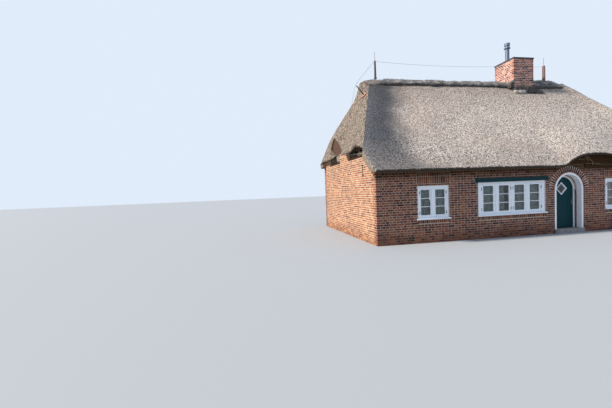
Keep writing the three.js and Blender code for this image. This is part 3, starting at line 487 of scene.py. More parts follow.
def make_piece(name, points, faces, finishes, body="house", smooth=None, tones=None, kinds=None):
    """An object in place, finished and riding on its body. smooth is the sharpest angle kept smooth."""
    mesh = bpy.data.meshes.new(name)
    mesh.from_pydata([tuple(p) for p in points], [], faces)
    for key in finishes:
        mesh.materials.append(FINISHES[key])
    if kinds is not None:
        mesh.polygons.foreach_set("material_index", kinds)
    if tones is not None:
        mesh.attributes.new("tone", "FLOAT", "FACE").data.foreach_set("value", tones)
    tidy = bmesh.new()
    tidy.from_mesh(mesh)
    bmesh.ops.recalc_face_normals(tidy, faces=tidy.faces)
    tidy.to_mesh(mesh)
    tidy.free()
    if smooth is not None:
        mesh.polygons.foreach_set("use_smooth", [True] * len(mesh.polygons))
        mesh.set_sharp_from_angle(angle=math.radians(smooth))
    piece = bpy.data.objects.new(name, mesh)
    bpy.context.scene.collection.objects.link(piece)
    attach(piece, body)
    return piece


CORNERS = list(itertools.product((0, 1), repeat=3))


def box_faces():
    """Faces of a box with its edges taken off, over three points at each corner, one for each axis."""
    number = {(corner, axis): 3 * i + axis for i, corner in enumerate(CORNERS) for axis in range(3)}
    faces = []
    for axis, side in itertools.product(range(3), (0, 1)):
        others = [k for k in range(3) if k != axis]
        ring = []
        for pair in ((0, 0), (1, 0), (1, 1), (0, 1)):
            corner = [side] * 3
            corner[others[0]], corner[others[1]] = pair
            ring.append(number[tuple(corner), axis])
        faces.append(ring)
    for along in range(3):
        first, second = [k for k in range(3) if k != along]
        for pair in itertools.product((0, 1), repeat=2):
            corner = [0] * 3
            corner[first], corner[second] = pair
            far = list(corner)
            far[along] = 1
            near, far = tuple(corner), tuple(far)
            spots = (near, first), (far, first), (far, second), (near, second)
            faces.append([number[spot] for spot in spots])
    faces += [[number[corner, axis] for axis in range(3)] for corner in CORNERS]
    return faces


BOX_FACES = box_faces()


def box_points(low, high, chamfer):
    low, high = np.array(low, float), np.array(high, float)
    points = []
    for corner in CORNERS:
        for axis in range(3):
            inset = np.full(3, chamfer)
            inset[axis] = 0
            points.append(np.where(corner, high - inset, low + inset))
    return points


def sides_of(low, high):
    """Where a point of each face of a block lies: along the face, up, and out from it."""
    return {
        "front": lambda along, up, out: (along, low.y - out, up),
        "back": lambda along, up, out: (along, high.y + out, up),
        "left": lambda along, up, out: (low.x - out, along, up),
        "right": lambda along, up, out: (high.x + out, along, up),
    }


FACES = sides_of(Vector((LEFT, FRONT, 0)), Vector((RIGHT, BACK, 0)))


def bar(pile, face, along, up, out, chamfer=0.004):
    """A chamfered bar on a wall face, from its ranges along, up and out."""
    spots = box_points((along[0], up[0], out[0]), (along[1], up[1], out[1]), chamfer)
    pile.add([FACES[face](*spot) for spot in spots], BOX_FACES)


# Bricks

def cut(outline, a, b, limit):
    """The part of a convex outline where a * along + b * up stays under the limit."""
    kept = []
    for p, q in zip(outline, outline[1:] + outline[:1]):
        over_p, over_q = a * p[0] + b * p[1] - limit, a * q[0] + b * q[1] - limit
        if over_p <= 0:
            kept.append(p)
        if over_p * over_q < 0:
            t = over_p / (over_p - over_q)
            kept.append((p[0] + (q[0] - p[0]) * t, p[1] + (q[1] - p[1]) * t))
    return kept


def signed_area(outline):
    return sum(p[0] * q[1] - q[0] * p[1] for p, q in zip(outline, [*outline[1:], outline[0]])) / 2


def worth_laying(outlines):
    """Leaves out slivers that are too small to be bricks."""
    whole = [outline for outline in outlines if len(outline) > 2]
    return [outline for outline in whole if abs(signed_area(outline)) > SMALLEST_PIECE]


def leave_rectangle(outlines, along, up):
    """Cuts the bricks round a rectangular opening."""
    kept = []
    for outline in outlines:
        lows, highs = np.min(outline, axis=0), np.max(outline, axis=0)
        if lows[0] >= along[1] or highs[0] <= along[0] or lows[1] >= up[1] or highs[1] <= up[0]:
            kept.append(outline)
            continue
        kept += [cut(outline, 1, 0, along[0]), cut(outline, -1, 0, -along[1])]
        middle = cut(cut(outline, -1, 0, -along[0]), 1, 0, along[1])
        if len(middle) > 2:
            kept += [cut(middle, 0, -1, -up[1]), cut(middle, 0, 1, up[0])]
    return worth_laying(kept)


def stand_courses(start, end, base, high):
    """A row of bricks on end or on edge, spread evenly."""
    count = round((end - start + JOINT) / COURSE)
    pitch = (end - start + JOINT) / count
    rows = [start + pitch * i for i in range(count)]
    return [[(a, base), (a + pitch - JOINT, base), (a + pitch - JOINT, base + high), (a, base + high)]
            for a in rows]


def ring_courses(inner, outer):
    """Bricks on end round the doorway's half circle, with joints that widen outwards."""
    count = round(math.pi * inner / (BRICK_HIGH + ARCH_JOINT))
    outlines = []
    for i in range(count):
        angle = math.pi * (i + 0.5) / count
        cos, sin = math.cos(angle), math.sin(angle)
        corners = [(inner, -1), (outer, -1), (outer, 1), (inner, 1)]
        outlines.append([(DOOR_X + r * cos - side * BRICK_HIGH / 2 * sin,
                          SPRING_Z + r * sin + side * BRICK_HIGH / 2 * cos) for r, side in corners])
    return outlines


def flat_arch(along, window_top):
    """Bricks on end over a window, and shorter ones over them. Also gives the space that they take up."""
    foot = ARCH_FOOT + round(window_top / COURSE + 1) * COURSE
    upper = foot + BRICK_LONG + JOINT
    start, end = along[0] - 0.02, along[1] + 0.02
    laid = stand_courses(start, end, foot, BRICK_LONG) + stand_courses(start, end, upper, BRICK_WIDE)
    return laid, (start - JOINT, end + JOINT), (foot - JOINT / 2, upper + BRICK_WIDE + JOINT)


def brick_tone():
    return float(np.clip(chance.normal(0.5, 0.32), 0, 1))


def lay(pile, outlines, place, proud=BRICK_PROUD, deep=SHALLOW):
    """Turns outlines into bricks that stand a little proud of the mortar, with worn arrises."""
    for outline in outlines:
        middle = np.mean(outline, axis=0)
        stand = proud + chance.uniform(-STAND_SPREAD, STAND_SPREAD)
        rings = []
        for inset, out in ((0, -deep), (0, stand - BRICK_ARRIS), (BRICK_ARRIS, stand)):
            ways = [(spot, middle - spot) for spot in outline]
            moved = [spot + way * min(0.4, inset * 1.4 / np.linalg.norm(way)) for spot, way in ways]
            rings.append([place(*spot, out) for spot in moved])
        pile.loft(rings, brick_tone())


# Thatch

SLOPE_SPACING = 0.04
HIP_SPACING = 0.032
LIP_ROUND = 0.07
ARRIS_SINK = 0.11
ARRIS_REACH = 0.5
SWELL_REACH = 0.9

# How far the arrises bulge out, as heights and distances
NO_SWELL = [0, 1], [0, 0]
BACK_LEFT_SWELL = (
    [3.5, 4.0, 4.4, 5.0, 6.0, 6.3, 6.6, 6.75, 6.9], [0, 0.12, 0.21, 0.19, 0.16, 0.24, 0.40, 0.28, 0.02])
BACK_RIGHT_SWELL = [3.5, 4.0, 4.4, 5.0, 6.2, 6.9], [0, 0.13, 0.22, 0.19, 0.12, 0]
FRONT_RIGHT_SWELL = [3.5, 4.8, 6.5, 6.9], [0, 0.135, 0.105, 0.03]
SEAM_STEPS = 120
REED_RADIUS = 0.004
REED_ROOT = 0.04
REED_LENGTHS = (0.0, 0.02)
WAVES = (0.026, 1.1), (0.005, 0.28), (0.004, 0.12)
FRONT_RUN = math.hypot(EAVE_Y + RIDGE_Y, RIDGE_Z - FRONT_LIP_Z)
BACK_RUN = math.hypot(EAVE_Y - RIDGE_Y, RIDGE_Z - BACK_LIP_Z)
FRONT_CORNER_Y = RIDGE_Y - (RIDGE_Z - HIP_LIP_Z) / FRONT_PITCH
BACK_CORNER_Y = RIDGE_Y + (RIDGE_Z - HIP_LIP_Z) / BACK_PITCH
SOFFIT_Z = HIP_LIP_Z - THATCH_DROP + (ROOF_END - RIGHT) * HIP_PITCH

# The trimmed arches over the attic windows, as (y, z)
LOW_NOTCH = [(-2.985, 3.495), (-2.5, 3.575), (-2.05, 3.62), (-1.78, 3.595), (-1.62, HIP_LIP_Z)]
TALL_NOTCH = [
    (-0.40, HIP_LIP_Z), (-0.32, 3.60), (0.2, 3.865), (0.65, 4.19), (1.05, 4.40), (1.40, 4.41), (1.65, 4.19),
    (1.68, 3.90), (1.47, 3.685), (1.29, 3.56), (1.25, HIP_LIP_Z)]
HOOD = {"y": 1.15, "half": 1.35, "swell": 0.30, "z0": HIP_LIP_Z, "z1": 4.36, "z2": 4.40, "z3": 5.80}


def mix(a, b, t):
    return a + (b - a) * t


def smoothstep(value, low, high):
    t = np.clip((value - low) / (high - low), 0, 1)
    return t * t * (3 - 2 * t)


def unit(vectors):
    return vectors / np.linalg.norm(vectors, axis=-1, keepdims=True)


def eyebrow_rise(x):
    reach = np.minimum(1, np.abs(x - EYEBROW_X) / EYEBROW_HALF)
    return np.maximum(0, np.cos(reach ** 1.3 * math.pi / 2))


def eyebrow_fade(v):
    return np.maximum(0, 1 - v / 0.75) ** 2


def front_face(x, run, inner=False):
    """A point of the front slope, run metres up from the lip."""
    v = run / FRONT_RUN
    rise = eyebrow_rise(x)
    drop = THATCH_DROP if inner else 0
    low = (FRONT_SEAT_Z if inner else FRONT_LIP_Z) + EYEBROW_LIFT * rise
    z = mix(low, RIDGE_Z - drop, v)
    y = -EAVE_Y + (z + drop - FRONT_LIP_Z) / FRONT_PITCH - EYEBROW_BULGE * rise * eyebrow_fade(v)
    return np.stack([x, y, z], axis=-1)


def back_face(x, run, inner=False):
    v = run / BACK_RUN
    drop = THATCH_DROP if inner else 0
    z = mix(BACK_SEAT_Z if inner else BACK_LIP_Z, RIDGE_Z - drop, v)
    y = EAVE_Y - (z + drop - BACK_LIP_Z) / BACK_PITCH
    return np.stack([x, y, z], axis=-1)


def hood_swell(y, z):
    """The half hip bulges over the taller notch, and not at its seams."""
    aside = np.minimum(1, np.abs(y - HOOD["y"]) / HOOD["half"])
    below = RIDGE_Z - z
    seam_y = np.where(y > RIDGE_Y, RIDGE_Y + below / BACK_PITCH, RIDGE_Y - below / FRONT_PITCH)
    near_seam = smoothstep(np.abs(seam_y - y), 0.0, 0.8)
    rise = smoothstep(z, HOOD["z0"], HOOD["z1"]) * (1 - smoothstep(z, HOOD["z2"], HOOD["z3"]))
    return HOOD["swell"] * np.cos(aside * math.pi / 2) ** 2 * rise * near_seam


def hip_face(side):
    def place(y, run):
        z = HIP_LIP_Z + run / HIP_STRETCH
        x = ROOF_END - (z - HIP_LIP_Z) / HIP_PITCH + hood_swell(y, z)
        return np.stack([side * x, y, z], axis=-1)
    return place


HIP_STRETCH = math.hypot(1, 1 / HIP_PITCH)


def face_normals(place, a, b, step=0.01):
    """Upward unit normals of a slope, by differences."""
    across = place(a + step, b) - place(a - step, b)
    along = place(a, b + step) - place(a, b - step)
    normals = np.cross(across, along)
    return unit(normals * np.sign(normals[:, 2:3]))


def evenly(points, spacing):
    """Spots along a line through the points, evenly spaced, without the last one."""
    points = np.array(points, float)
    lengths = np.linalg.norm(np.diff(points, axis=0), axis=1)
    far = np.concatenate([[0], np.cumsum(lengths)])
    spots = np.linspace(0, far[-1], max(2, round(far[-1] / spacing) + 1))[:-1]
    return np.stack([np.interp(spots, far, points[:, k]) for k in range(2)], axis=1)


def rounded(points, steps=6):
    """A smooth curve through the points."""
    points = np.array([points[0], *points, points[-1]], float)
    curve = []
    for p0, p1, p2, p3 in zip(points, points[1:], points[2:], points[3:]):
        for t in np.arange(steps) / steps:
            curve.append(0.5 * (2 * p1 + (p2 - p0) * t + (2 * p0 - 5 * p1 + 4 * p2 - p3) * t ** 2
                                + (3 * p1 - p0 - 3 * p2 + p3) * t ** 3))
    return [*curve, points[-1]]


def distance_to(points, lines):
    """How far each point lies from the nearest of the lines."""
    nearest = np.full(len(points), np.inf)
    for line in lines:
        line = np.array(line, float)
        for p, q in zip(line, line[1:]):
            t = np.clip((points - p) @ (q - p) / max(1e-12, (q - p) @ (q - p)), 0, 1)
            nearest = np.minimum(nearest, np.linalg.norm(points - p - t[:, None] * (q - p), axis=1))
    return nearest


def inside(points, loop):
    odd = np.zeros(len(points), bool)
    for (x0, y0), (x1, y1) in zip(loop, np.roll(loop, -1, axis=0)):
        if y0 != y1:
            between = (y0 > points[:, 1]) != (y1 > points[:, 1])
            odd ^= between & (points[:, 0] < (x1 - x0) * (points[:, 1] - y0) / (y1 - y0) + x0)
    return odd


def unevenness(points):
    """How far the weathered thatch stands out or in: slow waves, clumps and tufts."""
    spots = [Vector(point) for point in points]
    return np.array([sum(most * noise.noise(spot / length) for most, length in WAVES) for spot in spots])


CUT_KINDS = {"cut": 1, "eave": 2}
ROW_PITCH = 0.866
FIELD_SHIFT = 0.2
CUT_BORDERS = (0.010, 0.026)
CUT_CLEAR = 0.045
EDGE_ROUGHNESS = 0.005
# How far from the eave the outer faces take the dark eave finish, as painted shade.
EAVE_SHADE_BAND = 0.06


def spread_points(loop, kinds, stretches, cut_lines, spacing):
    """Points all over a slope, loosely in rows, and closer ones along its cut edges."""
    lows, highs = loop.min(axis=0), loop.max(axis=0)
    rows = np.arange(lows[1] + spacing / 2, highs[1], spacing * ROW_PITCH)
    starts = [lows[0] + spacing * (0.5 if i % 2 else 1.0) for i in range(len(rows))]
    field = np.array([
        (x, row) for start, row in zip(starts, rows) for x in np.arange(start, highs[0], spacing)])
    field = field + chance.uniform(-FIELD_SHIFT, FIELD_SHIFT, field.shape) * spacing
    field = field[inside(field, loop)]
    field = field[distance_to(field, [line for _, line in stretches]) > spacing * 0.45]
    turn = 1 if signed_area(loop) > 0 else -1
    along = unit(np.roll(loop, -1, axis=0) - np.roll(loop, 1, axis=0))
    inward = turn * np.stack([-along[:, 1], along[:, 0]], axis=1)
    at_cut = [kind in CUT_KINDS for kind in kinds]
    border = [(loop + inward * depth)[at_cut] for depth in CUT_BORDERS]
    return np.concatenate([field[distance_to(field, cut_lines) > CUT_CLEAR], *border])


def outer_skin(flat, place, cut_lines, seams):
    """The weathered outer face, which rounds off at the cuts and leans to its neighbours at the seams."""
    outer = place(flat[:, 0], flat[:, 1])
    normals = face_normals(place, flat[:, 0], flat[:, 1])
    cut_depth = np.maximum(0, 1 - distance_to(flat, cut_lines) / LIP_ROUND)
    off_seam = smoothstep(distance_to(flat, [line for line, _, _ in seams]), 0.0, 0.2)
    sink = LIP_ROUND * (1 - np.sqrt(1 - cut_depth ** 2)) * off_seam
    stand = unevenness(outer) - sink
    aways = [distance_to(flat, [line]) for line, _, _ in seams]
    push = np.zeros_like(outer)
    for (_, neighbour, swell), away, other in zip(seams, aways, aways[::-1]):
        near = np.maximum(0, 1 - away / ARRIS_REACH)
        leaning = unit(mix(normals, unit(normals + neighbour), near[:, None]))
        bulge = np.interp(outer[:, 2], *swell) * smoothstep(SWELL_REACH - away, 0, SWELL_REACH)
        share = (other ** 2 + 1e-9) / (away ** 2 + other ** 2 + 2e-9)
        push += leaning * ((stand - ARRIS_SINK * near ** 2 + bulge) * share)[:, None]
    return outer + push


def thatch_slope(name, stretches, place, seat, seams, spacing, finish_key):
    """One slope of the roof as a closed thick sheet.

    stretches are the parts of its outline in metres over the slope, each with its kind: cut reed, eave,
    seam or hidden. place puts a spot on the outer face, seat gives the inner edge behind a spot of the
    outline, and seams are (line, normal of the neighbouring slope, how far it swells).
    """
    pieces = [line if kind == "seam" else evenly(line, spacing) for kind, line in stretches]
    kinds = [kind for (kind, _), piece in zip(stretches, pieces) for _ in piece]
    loop = np.concatenate(pieces)
    cut_lines = [line for kind, line in stretches if kind in CUT_KINDS]
    field = spread_points(loop, kinds, stretches, cut_lines, spacing)
    flat, _, skin, sources, _, _ = delaunay_2d_cdt(
        [Vector(spot) for spot in (*loop, *field)], [], [list(range(len(loop)))], 1, 1e-6)
    flat = np.array([tuple(spot) for spot in flat])
    spot_of = {first: i for i, source in enumerate(sources) for first in source}
    outer = outer_skin(flat, place, cut_lines, seams)

    rings = [[spot_of[i] for i in range(len(loop))]]
    border_out, border_in = outer[rings[0]], seat(loop, kinds)
    at_cut = np.array([[kind in CUT_KINDS] for kind in kinds])
    rows = [mix(border_out, border_in, t) for t in (0.2, 0.5, 0.8)]
    rows = [row + chance.normal(0, EDGE_ROUGHNESS, row.shape) * at_cut for row in rows]
    points = [*outer]
    for row in (*rows, border_in):
        rings.append(list(range(len(points), len(points) + len(row))))
        points.extend(row)

    # Outer faces next to the eave take the dark eave finish: painted shade.
    in_eave_shade = distance_to(flat, [line for kind, line in stretches if kind == "eave"]) < EAVE_SHADE_BAND
    faces = [list(face) for face in skin]
    marks = [CUT_KINDS["eave"] if in_eave_shade[face].all() else 0 for face in faces]
    for upper, lower in zip(rings, rings[1:]):
        for i in range(len(loop)):
            j = (i + 1) % len(loop)
            faces.append([upper[i], upper[j], lower[j], lower[i]])
            marks.append(CUT_KINDS.get(kinds[i], 0))
    faces.append(rings[-1])
    marks.append(CUT_KINDS["cut"])
    finishes = [finish_key, "cut_reed", "shaded_eave_reed"]
    piece = make_piece(f"thatch_{name}_cover", points, faces, finishes, smooth=55, kinds=marks)
    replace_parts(piece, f"thatch_{name}")


SLOPE_NORMALS = {
    "front": unit(np.array([0, -FRONT_PITCH, 1.0])),
    "back": unit(np.array([0, BACK_PITCH, 1.0])),
    "left": unit(np.array([-HIP_PITCH, 0, 1.0])),
    "right": unit(np.array([HIP_PITCH, 0, 1.0])),
}


def seam_spots(low, high, first=0):
    """Evenly spaced spots of a seam, the same number seen from both of its slopes."""
    steps = np.arange(first, SEAM_STEPS + 1)[:, None] / SEAM_STEPS
    return mix(np.array([low], float), np.array([high], float), steps)


def main_slope(name, place, run, corner_y, chimney_y, side):
    """The front or back slope, which the chimney's side notches at the ridge."""
    corner_run = run * (EAVE_Y - abs(corner_y)) / (EAVE_Y + RIDGE_Y * -side)
    chimney_run = run * (EAVE_Y - side * chimney_y) / (EAVE_Y + RIDGE_Y * -side)
    x0, x1 = CHIMNEY_LOW.x, CHIMNEY_HIGH.x
    right_seam = seam_spots((ROOF_END, corner_run), (HIP_APEX, run))
    left_seam = seam_spots((-ROOF_END, corner_run), (-HIP_APEX, run))[::-1]
    verge = rounded([
        (LIP_END - 0.05, 0), (LIP_END, 0.04 * corner_run), (LIP_END + 0.06, 0.35 * corner_run),
        (ROOF_END - 0.03, 0.75 * corner_run), (ROOF_END, corner_run)])
    top = [(HIP_APEX, run), (x1, run), (x1, chimney_run), (x0, chimney_run), (x0, run), (-HIP_APEX, run)]
    stretches = [
        ("eave", [(0.05 - LIP_END, 0), (LIP_END - 0.05, 0)]),
        ("cut", verge),
        ("seam", right_seam[:-1]),
        *[("hidden", [start, end]) for start, end in zip(top, top[1:])],
        ("seam", left_seam[:-1]),
        ("cut", [(-x, up) for x, up in verge[::-1]]),
    ]

    def seat(loop, _):
        edge = place(loop[:, 0], loop[:, 1], True)
        past_corner = np.maximum(0, side * (corner_y - edge[:, 1]))
        seam_x = ROOF_END - past_corner * (ROOF_END - HIP_APEX) / abs(corner_y - RIDGE_Y)
        edge[:, 0] = np.clip(edge[:, 0], -seam_x, seam_x)
        return edge

    right_swell = BACK_RIGHT_SWELL if side > 0 else FRONT_RIGHT_SWELL
    left_swell = BACK_LEFT_SWELL if side > 0 else NO_SWELL
    seams = [(right_seam, SLOPE_NORMALS["right"], right_swell),
             (left_seam, SLOPE_NORMALS["left"], left_swell)]
    thatch_slope(name, stretches, place, seat, seams, SLOPE_SPACING, "grey_thatch")


def half_hip(name, side):
    """A half hip, trimmed over both attic windows."""
    def spot(y, z):
        return (y, (z - HIP_LIP_Z) * HIP_STRETCH)

    apex = spot(RIDGE_Y, RIDGE_Z)
    front_seam = seam_spots(spot(FRONT_CORNER_Y, HIP_LIP_Z), apex, 1)[::-1]
    back_seam = seam_spots(spot(BACK_CORNER_Y, HIP_LIP_Z), apex)
    stretches = [
        ("cut", [front_seam[-1], *[spot(y, z) for y, z in rounded(LOW_NOTCH)[1:]]]),
        ("cut", [spot(*LOW_NOTCH[-1]), spot(*TALL_NOTCH[0])]),
        ("cut", [spot(y, z) for y, z in rounded(TALL_NOTCH)]),
        ("cut", [spot(*TALL_NOTCH[-1]), spot(BACK_CORNER_Y, HIP_LIP_Z)]),
        ("seam", back_seam[:-1]),
        ("seam", front_seam[:-1]),
    ]

    def seat(loop, kinds):
        z = HIP_LIP_Z + loop[:, 1] / HIP_STRETCH
        cut = np.array([kind == "cut" for kind in kinds])
        under = mix(SOFFIT_Z, RIDGE_Z - THATCH_DROP, (z - HIP_LIP_Z) / (RIDGE_Z - HIP_LIP_Z))
        x_under = ROOF_END - (under + THATCH_DROP - HIP_LIP_Z) / HIP_PITCH
        share = (ROOF_END - x_under) / (ROOF_END - HIP_APEX)
        y_under = mix(np.where(loop[:, 0] < RIDGE_Y, FRONT_CORNER_Y, BACK_CORNER_Y), RIDGE_Y, share)
        x_in = np.where(cut, RIGHT - 0.04, x_under)
        y_in = np.where(cut, loop[:, 0], y_under)
        roof_z = np.where(loop[:, 0] < RIDGE_Y, FRONT_LIP_Z + (loop[:, 0] + EAVE_Y) * FRONT_PITCH,
                          BACK_LIP_Z + (EAVE_Y - loop[:, 0]) * BACK_PITCH)
        z_in = np.where(cut, np.minimum(np.maximum(z, SOFFIT_Z + 0.02), roof_z - 0.22), under)
        return np.stack([side * x_in, y_in, z_in], axis=-1)

    front_swell = FRONT_RIGHT_SWELL if side > 0 else NO_SWELL
    back_swell = BACK_RIGHT_SWELL if side > 0 else BACK_LEFT_SWELL
    seams = [(front_seam, SLOPE_NORMALS["front"], front_swell),
             (back_seam, SLOPE_NORMALS["back"], back_swell)]
    thatch_slope(name, stretches, hip_face(side), seat, seams, HIP_SPACING, "brown_thatch")


def reed_ends():
    """Loose reed ends that stick out of the trimmed lips."""
    pile = Pile()
    for count, face, slope in ((1500, front_face, "front"), (900, back_face, "back")):
        normal = SLOPE_NORMALS[slope]
        for _ in range(count):
            x = chance.uniform(0.2 - LIP_END, LIP_END - 0.2)
            spot = Vector(mix(face(x, 0) - normal * LIP_ROUND, face(x, 0, True), chance.uniform(0.02, 0.75)))
            way = Vector((chance.normal(0, 0.2), math.copysign(0.75, normal[1]), -0.65)).normalized()
            corners = three_around(way, REED_RADIUS)
            base, tip = spot - way * REED_ROOT, spot + way * chance.uniform(*REED_LENGTHS)
            pile.loft([[tuple(base + r) for r in corners], [tuple(tip + r * 0.6) for r in corners]])
    # The loose ends take the dark eave finish, as painted shade under the lip.
    return pile.piece("reed_ends", "shaded_eave_reed", "thatch")


def three_around(way, radius):
    """Three steps out from an axis, evenly turned about it."""
    aside = way.orthogonal().normalized() * radius
    other = way.cross(aside)
    return [aside, aside * -0.5 + other * 0.866, aside * -0.5 - other * 0.866]


# The heather roll

# Blocks of heather packed against the chimney's front and left flank, from corner to corner
PACKED_HEATHER = [
    ((CHIMNEY_LOW.x - 0.02, CHIMNEY_LOW.y - 0.12, 6.30),
     (CHIMNEY_HIGH.x + 0.02, CHIMNEY_LOW.y + 0.02, 6.545)),
    ((CHIMNEY_LOW.x - 0.17, CHIMNEY_LOW.y - 0.03, 6.46), (CHIMNEY_LOW.x + 0.02, 0.15, 6.83)),
]
ROLL_VOXEL = 0.032
ROLL_SMOOTHING = 6
RIGHT_ROLL_RISE = 0.12
LEFT_END_SHIFT = Vector((-0.30, 0.04, -0.05))
HEATHER_WAVES = (0.045, 0.35), (0.022, 0.11), (0.008, 0.045)
SPRIGS = 4200
SPRIG_RADIUS = 0.007
SPRIG_ROOT = 0.02
SPRIG_LENGTHS = (0.02, 0.065)


def pack_heather(mesh):
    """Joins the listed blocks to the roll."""
    packed = bmesh.new()
    packed.from_mesh(mesh)
    for low, high in PACKED_HEATHER:
        low, high = Vector(low), Vector(high)
        middle = Matrix.Translation((low + high) / 2)
        bmesh.ops.create_cube(packed, size=1, matrix=middle @ Matrix.Diagonal((*(high - low), 1)))
    packed.to_mesh(mesh)
    packed.free()


def heather_ridge():
    """The CAD roll, remeshed and roughened, with sprigs standing out of it."""
    mesh = bpy.data.objects["ridge_sod"].data.copy()
    roll = bpy.data.objects.new("heather_ridge", mesh)
    bpy.context.scene.collection.objects.link(roll)
    mesh.materials.clear()
    mesh.materials.append(FINISHES["matted_heather"])
    pack_heather(mesh)
    remesh = roll.modifiers.new("remesh", "REMESH")
    remesh.mode = "VOXEL"
    remesh.voxel_size = ROLL_VOXEL
    soften = roll.modifiers.new("soften", "SMOOTH")
    soften.iterations = ROLL_SMOOTHING
    shape = bpy.context.evaluated_depsgraph_get()
    shape.update()
    finished = bpy.data.meshes.new_from_object(roll.evaluated_get(shape))
    roll.modifiers.clear()
    roll.data = finished
    for vertex, normal in [(v, v.normal.copy()) for v in finished.vertices]:
        to_right = smoothstep(vertex.co.x, 2.75, 3.1) * smoothstep(-vertex.co.x, -4.8, -4.2)
        vertex.co.z += RIGHT_ROLL_RISE * float(to_right * smoothstep(vertex.co.z, 6.52, 6.85))
        vertex.co += LEFT_END_SHIFT * float(smoothstep(-vertex.co.x, 4.65, 5.1))
        spot = vertex.co
        vertex.co = spot + normal * sum(most * noise.noise(spot / length) for most, length in HEATHER_WAVES)
    finished.polygons.foreach_set("use_smooth", [True] * len(finished.polygons))
    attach(roll, "house")
    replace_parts(roll, "ridge_sod")
    heather_sprigs(finished)


def heather_sprigs(roll):
    """Short sprigs all over the roll, apart from its underside."""
    pile = Pile()
    outward = [(v.co.copy(), v.normal.copy()) for v in roll.vertices if v.normal.z > -0.3]
    for i in chance.integers(0, len(outward), SPRIGS):
        spot, normal = outward[i]
        way = (normal + Vector(chance.normal(0, 0.5, 3))).normalized()
        tip = spot + way * chance.uniform(*SPRIG_LENGTHS)
        root = spot - way * SPRIG_ROOT
        points = [*(root + r for r in three_around(way, SPRIG_RADIUS)), tip]
        pile.add([tuple(p) for p in points], [(0, 1, 2), (0, 3, 1), (1, 3, 2), (2, 3, 0)])
    pile.piece("heather_sprigs", "matted_heather", "heather")


# Brick walls

WINDOW_NODES = {
    "front": ["window_left_frame", "window_wide_frame", "window_right_frame"],
    "back": ["window_back_1_frame", "window_back_2_frame", "window_back_3_frame"],
    "left": ["attic_left_1_frame", "attic_left_2_frame"],
    "right": ["attic_right_1_frame", "attic_right_2_frame"],
}
LIGHTS = {"front": [2, 4, 2], "back": [2, 2, 2], "left": [3, 3], "right": [3, 3]}
LONG_WALL = LEFT - BRICK_PROUD, RIGHT + BRICK_PROUD
END_WALL = FRONT - BRICK_PROUD, BACK + BRICK_PROUD
FIRST_BED = 0.006
FRONT_BRICK_TOP = 2.500
BACK_BRICK_TOP = 3.160
END_BRICK_TOP = 3.612
CHIMNEY_BRICK_FOOT = 6.15
UNDER_THATCH = THATCH_DROP + 0.018
CLOSER = 0.051
SILL_OVER = 0.02
ARCHED_BELOW = 2.0
UNDER_BOARDS = 0.012
UNDER_EYEBROW = 0.014
SURROUND_GAP = 0.008
REVEAL_GAP = 0.003
ATTIC_GAP = 0.01
OVER_ATTIC = 0.2


def course_spans(start, end, kind):
    """The bricks of one course, laid from both corners towards cut bricks in the middle."""
    lead = {0: [], 2: [BRICK_LONG, BRICK_WIDE]}.get(kind, [BRICK_WIDE, CLOSER])
    usual = BRICK_WIDE if kind % 2 else BRICK_LONG
    spans = []
    reach = 0
    for length in itertools.chain(lead, itertools.repeat(usual)):
        if reach + length + JOINT > (end - start) / 2:
            break
        spans.append((reach, reach + length))
        reach += length + JOINT
    left_over = end - start - 2 * reach
    laid = [(start + a, start + b) for a, b in spans] + [(end - b, end - a) for a, b in spans]
    if left_over > BRICK_LONG + JOINT:
        half = (left_over - JOINT) / 2
        laid += [(start + reach, start + reach + half), (end - reach - half, end - reach)]
    elif left_over > 0.03:
        laid.append((start + reach, end - reach))
    return laid


def courses(start, end, low, top, kind):
    """The bricks of a wall from low to top: outline, start, end, foot and kind of course."""
    while low < top - 0.015:
        high = min(low + BRICK_HIGH, top)
        for a, b in course_spans(start, end, kind):
            yield [(a, low), (b, low), (b, high), (a, high)], a, b, low, kind
        low += COURSE
        kind = (kind + 1) % 4


def depth_at(at_corner, kind):
    """Corner bricks reach round the corner, and the others are thin."""
    return (BRICK_LONG if kind % 2 else BRICK_WIDE) - BRICK_PROUD if at_corner else SHALLOW


def window_spans(face):
    """The window openings of a wall, as (along, up) ranges."""
    across = 0 if face in ("front", "back") else 1
    boxes = [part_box(name) for name in WINDOW_NODES[face]]
    return [((low[across], high[across]), (low.z, high.z)) for low, high in boxes]


def clear_of_windows(outlines, face):
    """Cuts the bricks round a wall's windows, with their sill rows and flat arches."""
    for along, up in window_spans(face):
        outlines = leave_rectangle(
            outlines, (along[0] - JOINT, along[1] + JOINT), (up[0] - BRICK_WIDE - 2 * JOINT, up[1] + JOINT))
        if along[1] - along[0] < ARCHED_BELOW:
            outlines = leave_rectangle(outlines, *flat_arch(along, up[1])[1:])
    return outlines


def sills_and_arches(pile, face):
    """The sill row under each window of a wall, and the flat arch over each narrower one."""
    for along, up in window_spans(face):
        laid = stand_courses(
            along[0] - SILL_OVER, along[1] + SILL_OVER, up[0] - BRICK_WIDE - JOINT, BRICK_WIDE)
        if along[1] - along[0] < ARCHED_BELOW:
            laid += flat_arch(along, up[1])[0]
        lay(pile, laid, FACES[face])


def leave_round(outlines, radius):
    """Cuts the bricks round the doorway's arch, each along the tangent beside its middle."""
    kept = []
    for outline in outlines:
        away = np.mean(outline, axis=0) - (DOOR_X, SPRING_Z)
        reach = np.linalg.norm(away)
        if away[1] < 0 or reach > radius + BRICK_LONG:
            kept.append(outline)
            continue
        a, b = away / reach
        kept.append(cut(outline, -a, -b, -(a * DOOR_X + b * SPRING_Z + radius)))
    return worth_laying(kept)


